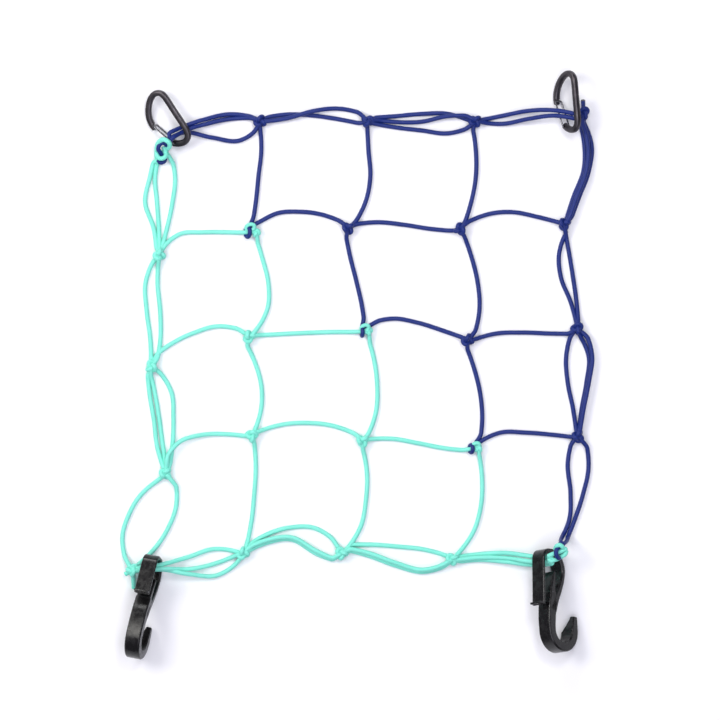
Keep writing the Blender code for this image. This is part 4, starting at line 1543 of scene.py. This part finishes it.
def settled(piece: Piece) -> Piece:
    """Apply a piece's modifiers and remove the shapes that they cut with.

    Args:
        piece: The piece, with its modifiers.

    Returns:
        The same piece, with its final mesh.
    """
    cutters = [modifier.object for modifier in piece.modifiers if modifier.type == "BOOLEAN"]
    evaluated = piece.evaluated_get(bpy.context.evaluated_depsgraph_get())
    mesh = bpy.data.meshes.new_from_object(evaluated)
    mesh.name = piece.name
    piece.modifiers.clear()
    piece.data = mesh
    for cutter in cutters:
        bpy.data.objects.remove(cutter, do_unlink=True)
    return piece


@dataclass
class MouldedHook:
    """A moulded hook: a strap with a sprung tongue at one end and a crook at the other."""

    hook: Hook
    width: float = 13.6
    chamfer: float = 1.0
    pitch: float = 0.32
    sink: float = 0.4
    crook_depth: float = 27.5
    crook_drop: float = 70.0
    crook_radius: float = 15.0
    crook_thick: float = 8.4
    crook_steps: int = 9
    path_steps: int = 5
    # The two rings that ease a band's end: what they keep of its least reach, and how far out.
    end_rings: tuple[tuple[float, float], ...] = ((0.88, 0.3), (0.62, 0.42))

    def axes(self) -> tuple[Vector, Vector, Vector]:
        """Find the hook's own directions.

        Returns:
            Into its depth, down its length and across its band.
        """
        roll = math.radians(self.hook.roll)
        pitch = math.atan(self.pitch * math.sin(roll))
        turned = Matrix.Rotation(math.radians(self.hook.yaw), 3, "Z")
        fall = -math.sin(roll)
        depth = Vector((math.cos(roll), fall * math.sin(pitch), fall * math.cos(pitch)))
        drop = Vector((0, -math.cos(pitch), math.sin(pitch)))
        return turned @ depth, turned @ drop, turned @ drop.cross(depth)

    def outline(self, thick: float, near: float, far: float) -> list[tuple[float, float]]:
        """Draw a band's section, its long edges chamfered and eased.

        Args:
            thick: The band's thickness there.
            near: How much narrower it is on the near side.
            far: How much narrower it is on the far side.

        Returns:
            The section's points, off the band and across it.
        """
        half = thick / 2
        cut = min(self.chamfer, half / 2)
        low, high = far - self.width, -near
        corners = [
            ((half, low), (-1, 1)),
            ((half, high), (-1, -1)),
            ((-half, high), (1, -1)),
            ((-half, low), (1, 1)),
        ]
        points = []
        for number, ((off, across), (inward, along)) in enumerate(corners):
            arc = []
            for deep, aside in CHAMFER:
                arc.append((off + inward * cut * deep, across + along * cut * aside))
            points.extend(arc if number % 2 else arc[::-1])
        return points

    def rings(self, sections: list[Section]) -> tuple[list[list[Vector]], list[float]]:
        """Lead a band through sections, eased between them.

        Args:
            sections: The band's sections.

        Returns:
            The band's rings and each one's distance along it.
        """
        into, down, wide = self.axes()
        rows = smooth_path([Vector((s.depth, s.drop, s.thick)) for s in sections], self.path_steps)
        sides = smooth_path([Vector((s.near, s.far, 0)) for s in sections], self.path_steps)
        base = Vector((self.hook.x, self.hook.y, 0))
        path = [base + into * row.x + down * row.y for row in rows]
        rings = []
        for centre, along, row, side in zip(path, directions(path, False), rows, sides):
            off = along.cross(wide)
            section = self.outline(row.z, max(side.x, 0.0), max(side.y, 0.0))
            rings.append([centre + off * a + wide * b for a, b in section])
        return self.closed_ends(rings, distances(path))

    def closed_ends(
        self, rings: list[list[Vector]], runs: list[float]
    ) -> tuple[list[list[Vector]], list[float]]:
        """Ease a band's two ends with smaller rings beyond each.

        Args:
            rings: The band's rings.
            runs: Each ring's distance along it.

        Returns:
            All the rings and their distances.
        """
        more = len(self.end_rings)
        for end, near in ((0, 1), (-1, -2)):
            middle = sum(rings[end], Vector()) / len(rings[end])
            inner = sum(rings[near], Vector()) / len(rings[near])
            away = (middle - inner).normalized()
            spokes = [point - middle for point in rings[end]]
            reach = min(spoke.length for spoke in spokes)
            added = []
            for share, out in self.end_rings:
                cut = (1 - share) * reach
                added.append([middle + spoke * (1 - cut / spoke.length) + away * out for spoke in spokes])
            if end == 0:
                rings = added[::-1] + rings
                runs = [runs[0]] * more + runs
            else:
                rings = rings + added
                runs = runs + [runs[-1]] * more
        return rings, runs

    def build(self) -> Piece:
        """Mould the hook and lay it on the surface.

        Returns:
            The piece, which rides on the net's body.
        """
        arc = []
        for step in range(self.crook_steps + 1):
            angle = math.pi * (1 - step / self.crook_steps)
            depth = self.crook_depth + self.crook_radius * math.cos(angle)
            drop = self.crook_drop + self.crook_radius * math.sin(angle)
            arc.append(Section(depth, drop, self.crook_thick))
        tongue, lip = (
            [row._replace(drop=self.hook.tongue_end + row.drop) for row in rows] for rows in (TONGUE, LIP)
        )
        bands = [
            self.rings(tongue + LOOP_AND_BACK),
            self.rings(SHANK + arc + CROOK_TIP),
            self.rings(SPUR),
            self.rings(lip),
        ]
        lowest = min(point.z for rings, _ in bands for ring in rings for point in ring)
        skin = Skin()
        for rings, runs in bands:
            raised = [[point - UP * (lowest + self.sink) for point in ring] for ring in rings]
            for ring in raised:
                for point in ring:
                    point.z = max(point.z, 0.0)
            skin.add_rings(raised, runs)
        piece = skin.make(f"moulded_hook_{self.hook.side}", [BLACK_PLASTIC.material()])
        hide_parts(f"hook_{self.hook.side}")
        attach(piece, "net")
        return piece


@dataclass
class Studio:
    """A pale floor, soft lights above the net and the camera straight over it."""

    floor_size: float = 16.0
    floor_colour: str = "#F6F6F8"
    floor_roughness: float = 0.75
    floor_specular: float = 0.2
    world_colour: str = "#E9E9FA"
    world_strength: float = 0.2
    far_clip: float = 50.0

    def floor(self) -> Piece:
        """Lay the floor that the net rests on.

        Returns:
            The floor, which is no piece of the part.
        """
        half = self.floor_size / 2
        corners = [(-half, -half, 0), (half, -half, 0), (half, half, 0), (-half, half, 0)]
        mesh = bpy.data.meshes.new("floor")
        mesh.from_pydata(corners, [], [(0, 1, 2, 3)])
        material, _, shader = bare_material("matt_white_board")
        shader.inputs["Base Color"].default_value = linear(self.floor_colour)
        shader.inputs["Roughness"].default_value = self.floor_roughness
        shader.inputs["Specular IOR Level"].default_value = self.floor_specular
        mesh.materials.append(material)
        floor = put("floor", mesh)
        return floor

    def light(self) -> None:
        """Hang the soft lights and set the even light from all round."""
        for row in SOFTBOXES:
            lamp = bpy.data.lights.new(row.name, "AREA")
            lamp.energy = row.power
            lamp.color = linear(row.colour)[:3]
            lamp.size = row.size
            box = put(row.name, lamp)
            box.location = (row.x, row.y, row.z)
            box.rotation_euler = (-box.location).to_track_quat("-Z", "Y").to_euler()
            box.visible_camera = False
        world = bpy.data.worlds.new("even_light")
        world.use_nodes = True
        background = world.node_tree.nodes["Background"]
        background.inputs["Color"].default_value = linear(self.world_colour)
        background.inputs["Strength"].default_value = self.world_strength
        bpy.context.scene.world = world
        bpy.context.scene.view_settings.view_transform = "Standard"

    def camera(self) -> None:
        """Set the camera over the picture's middle, far off with a long lens."""
        width = PIXEL_MM * IMAGE_PIXELS * MM
        lens = bpy.data.cameras.new("camera")
        lens.lens = LENS_MM
        lens.sensor_width = SENSOR_MM
        lens.clip_end = self.far_clip
        camera = put("camera", lens)
        camera.location = (PICTURE_MIDDLE - CENTRE) * MM + UP * (width * LENS_MM / SENSOR_MM)
        bpy.context.scene.camera = camera

    def build(self) -> None:
        """Set up the floor, the light and the camera."""
        self.floor()
        self.light()
        self.camera()


def main() -> None:
    """Build every piece in order and log it."""
    logging.basicConfig(level=logging.INFO, format="%(message)s")
    Studio().build()
    halves = [
        NetHalf(CordColour.BLUE, BLUE_SHEATH, SEARED_GREY, Slot.BLUE),
        NetHalf(CordColour.MINT, MINT_SHEATH, SEARED_MINT, Slot.GREEN),
    ]
    for half in halves:
        report_piece(half.build())
    for snap in SNAPS:
        for piece in SnapHook(snap).build():
            report_piece(piece)
    for hook in HOOKS:
        report_piece(MouldedHook(hook).build())


if __name__ == "__main__":
    main()
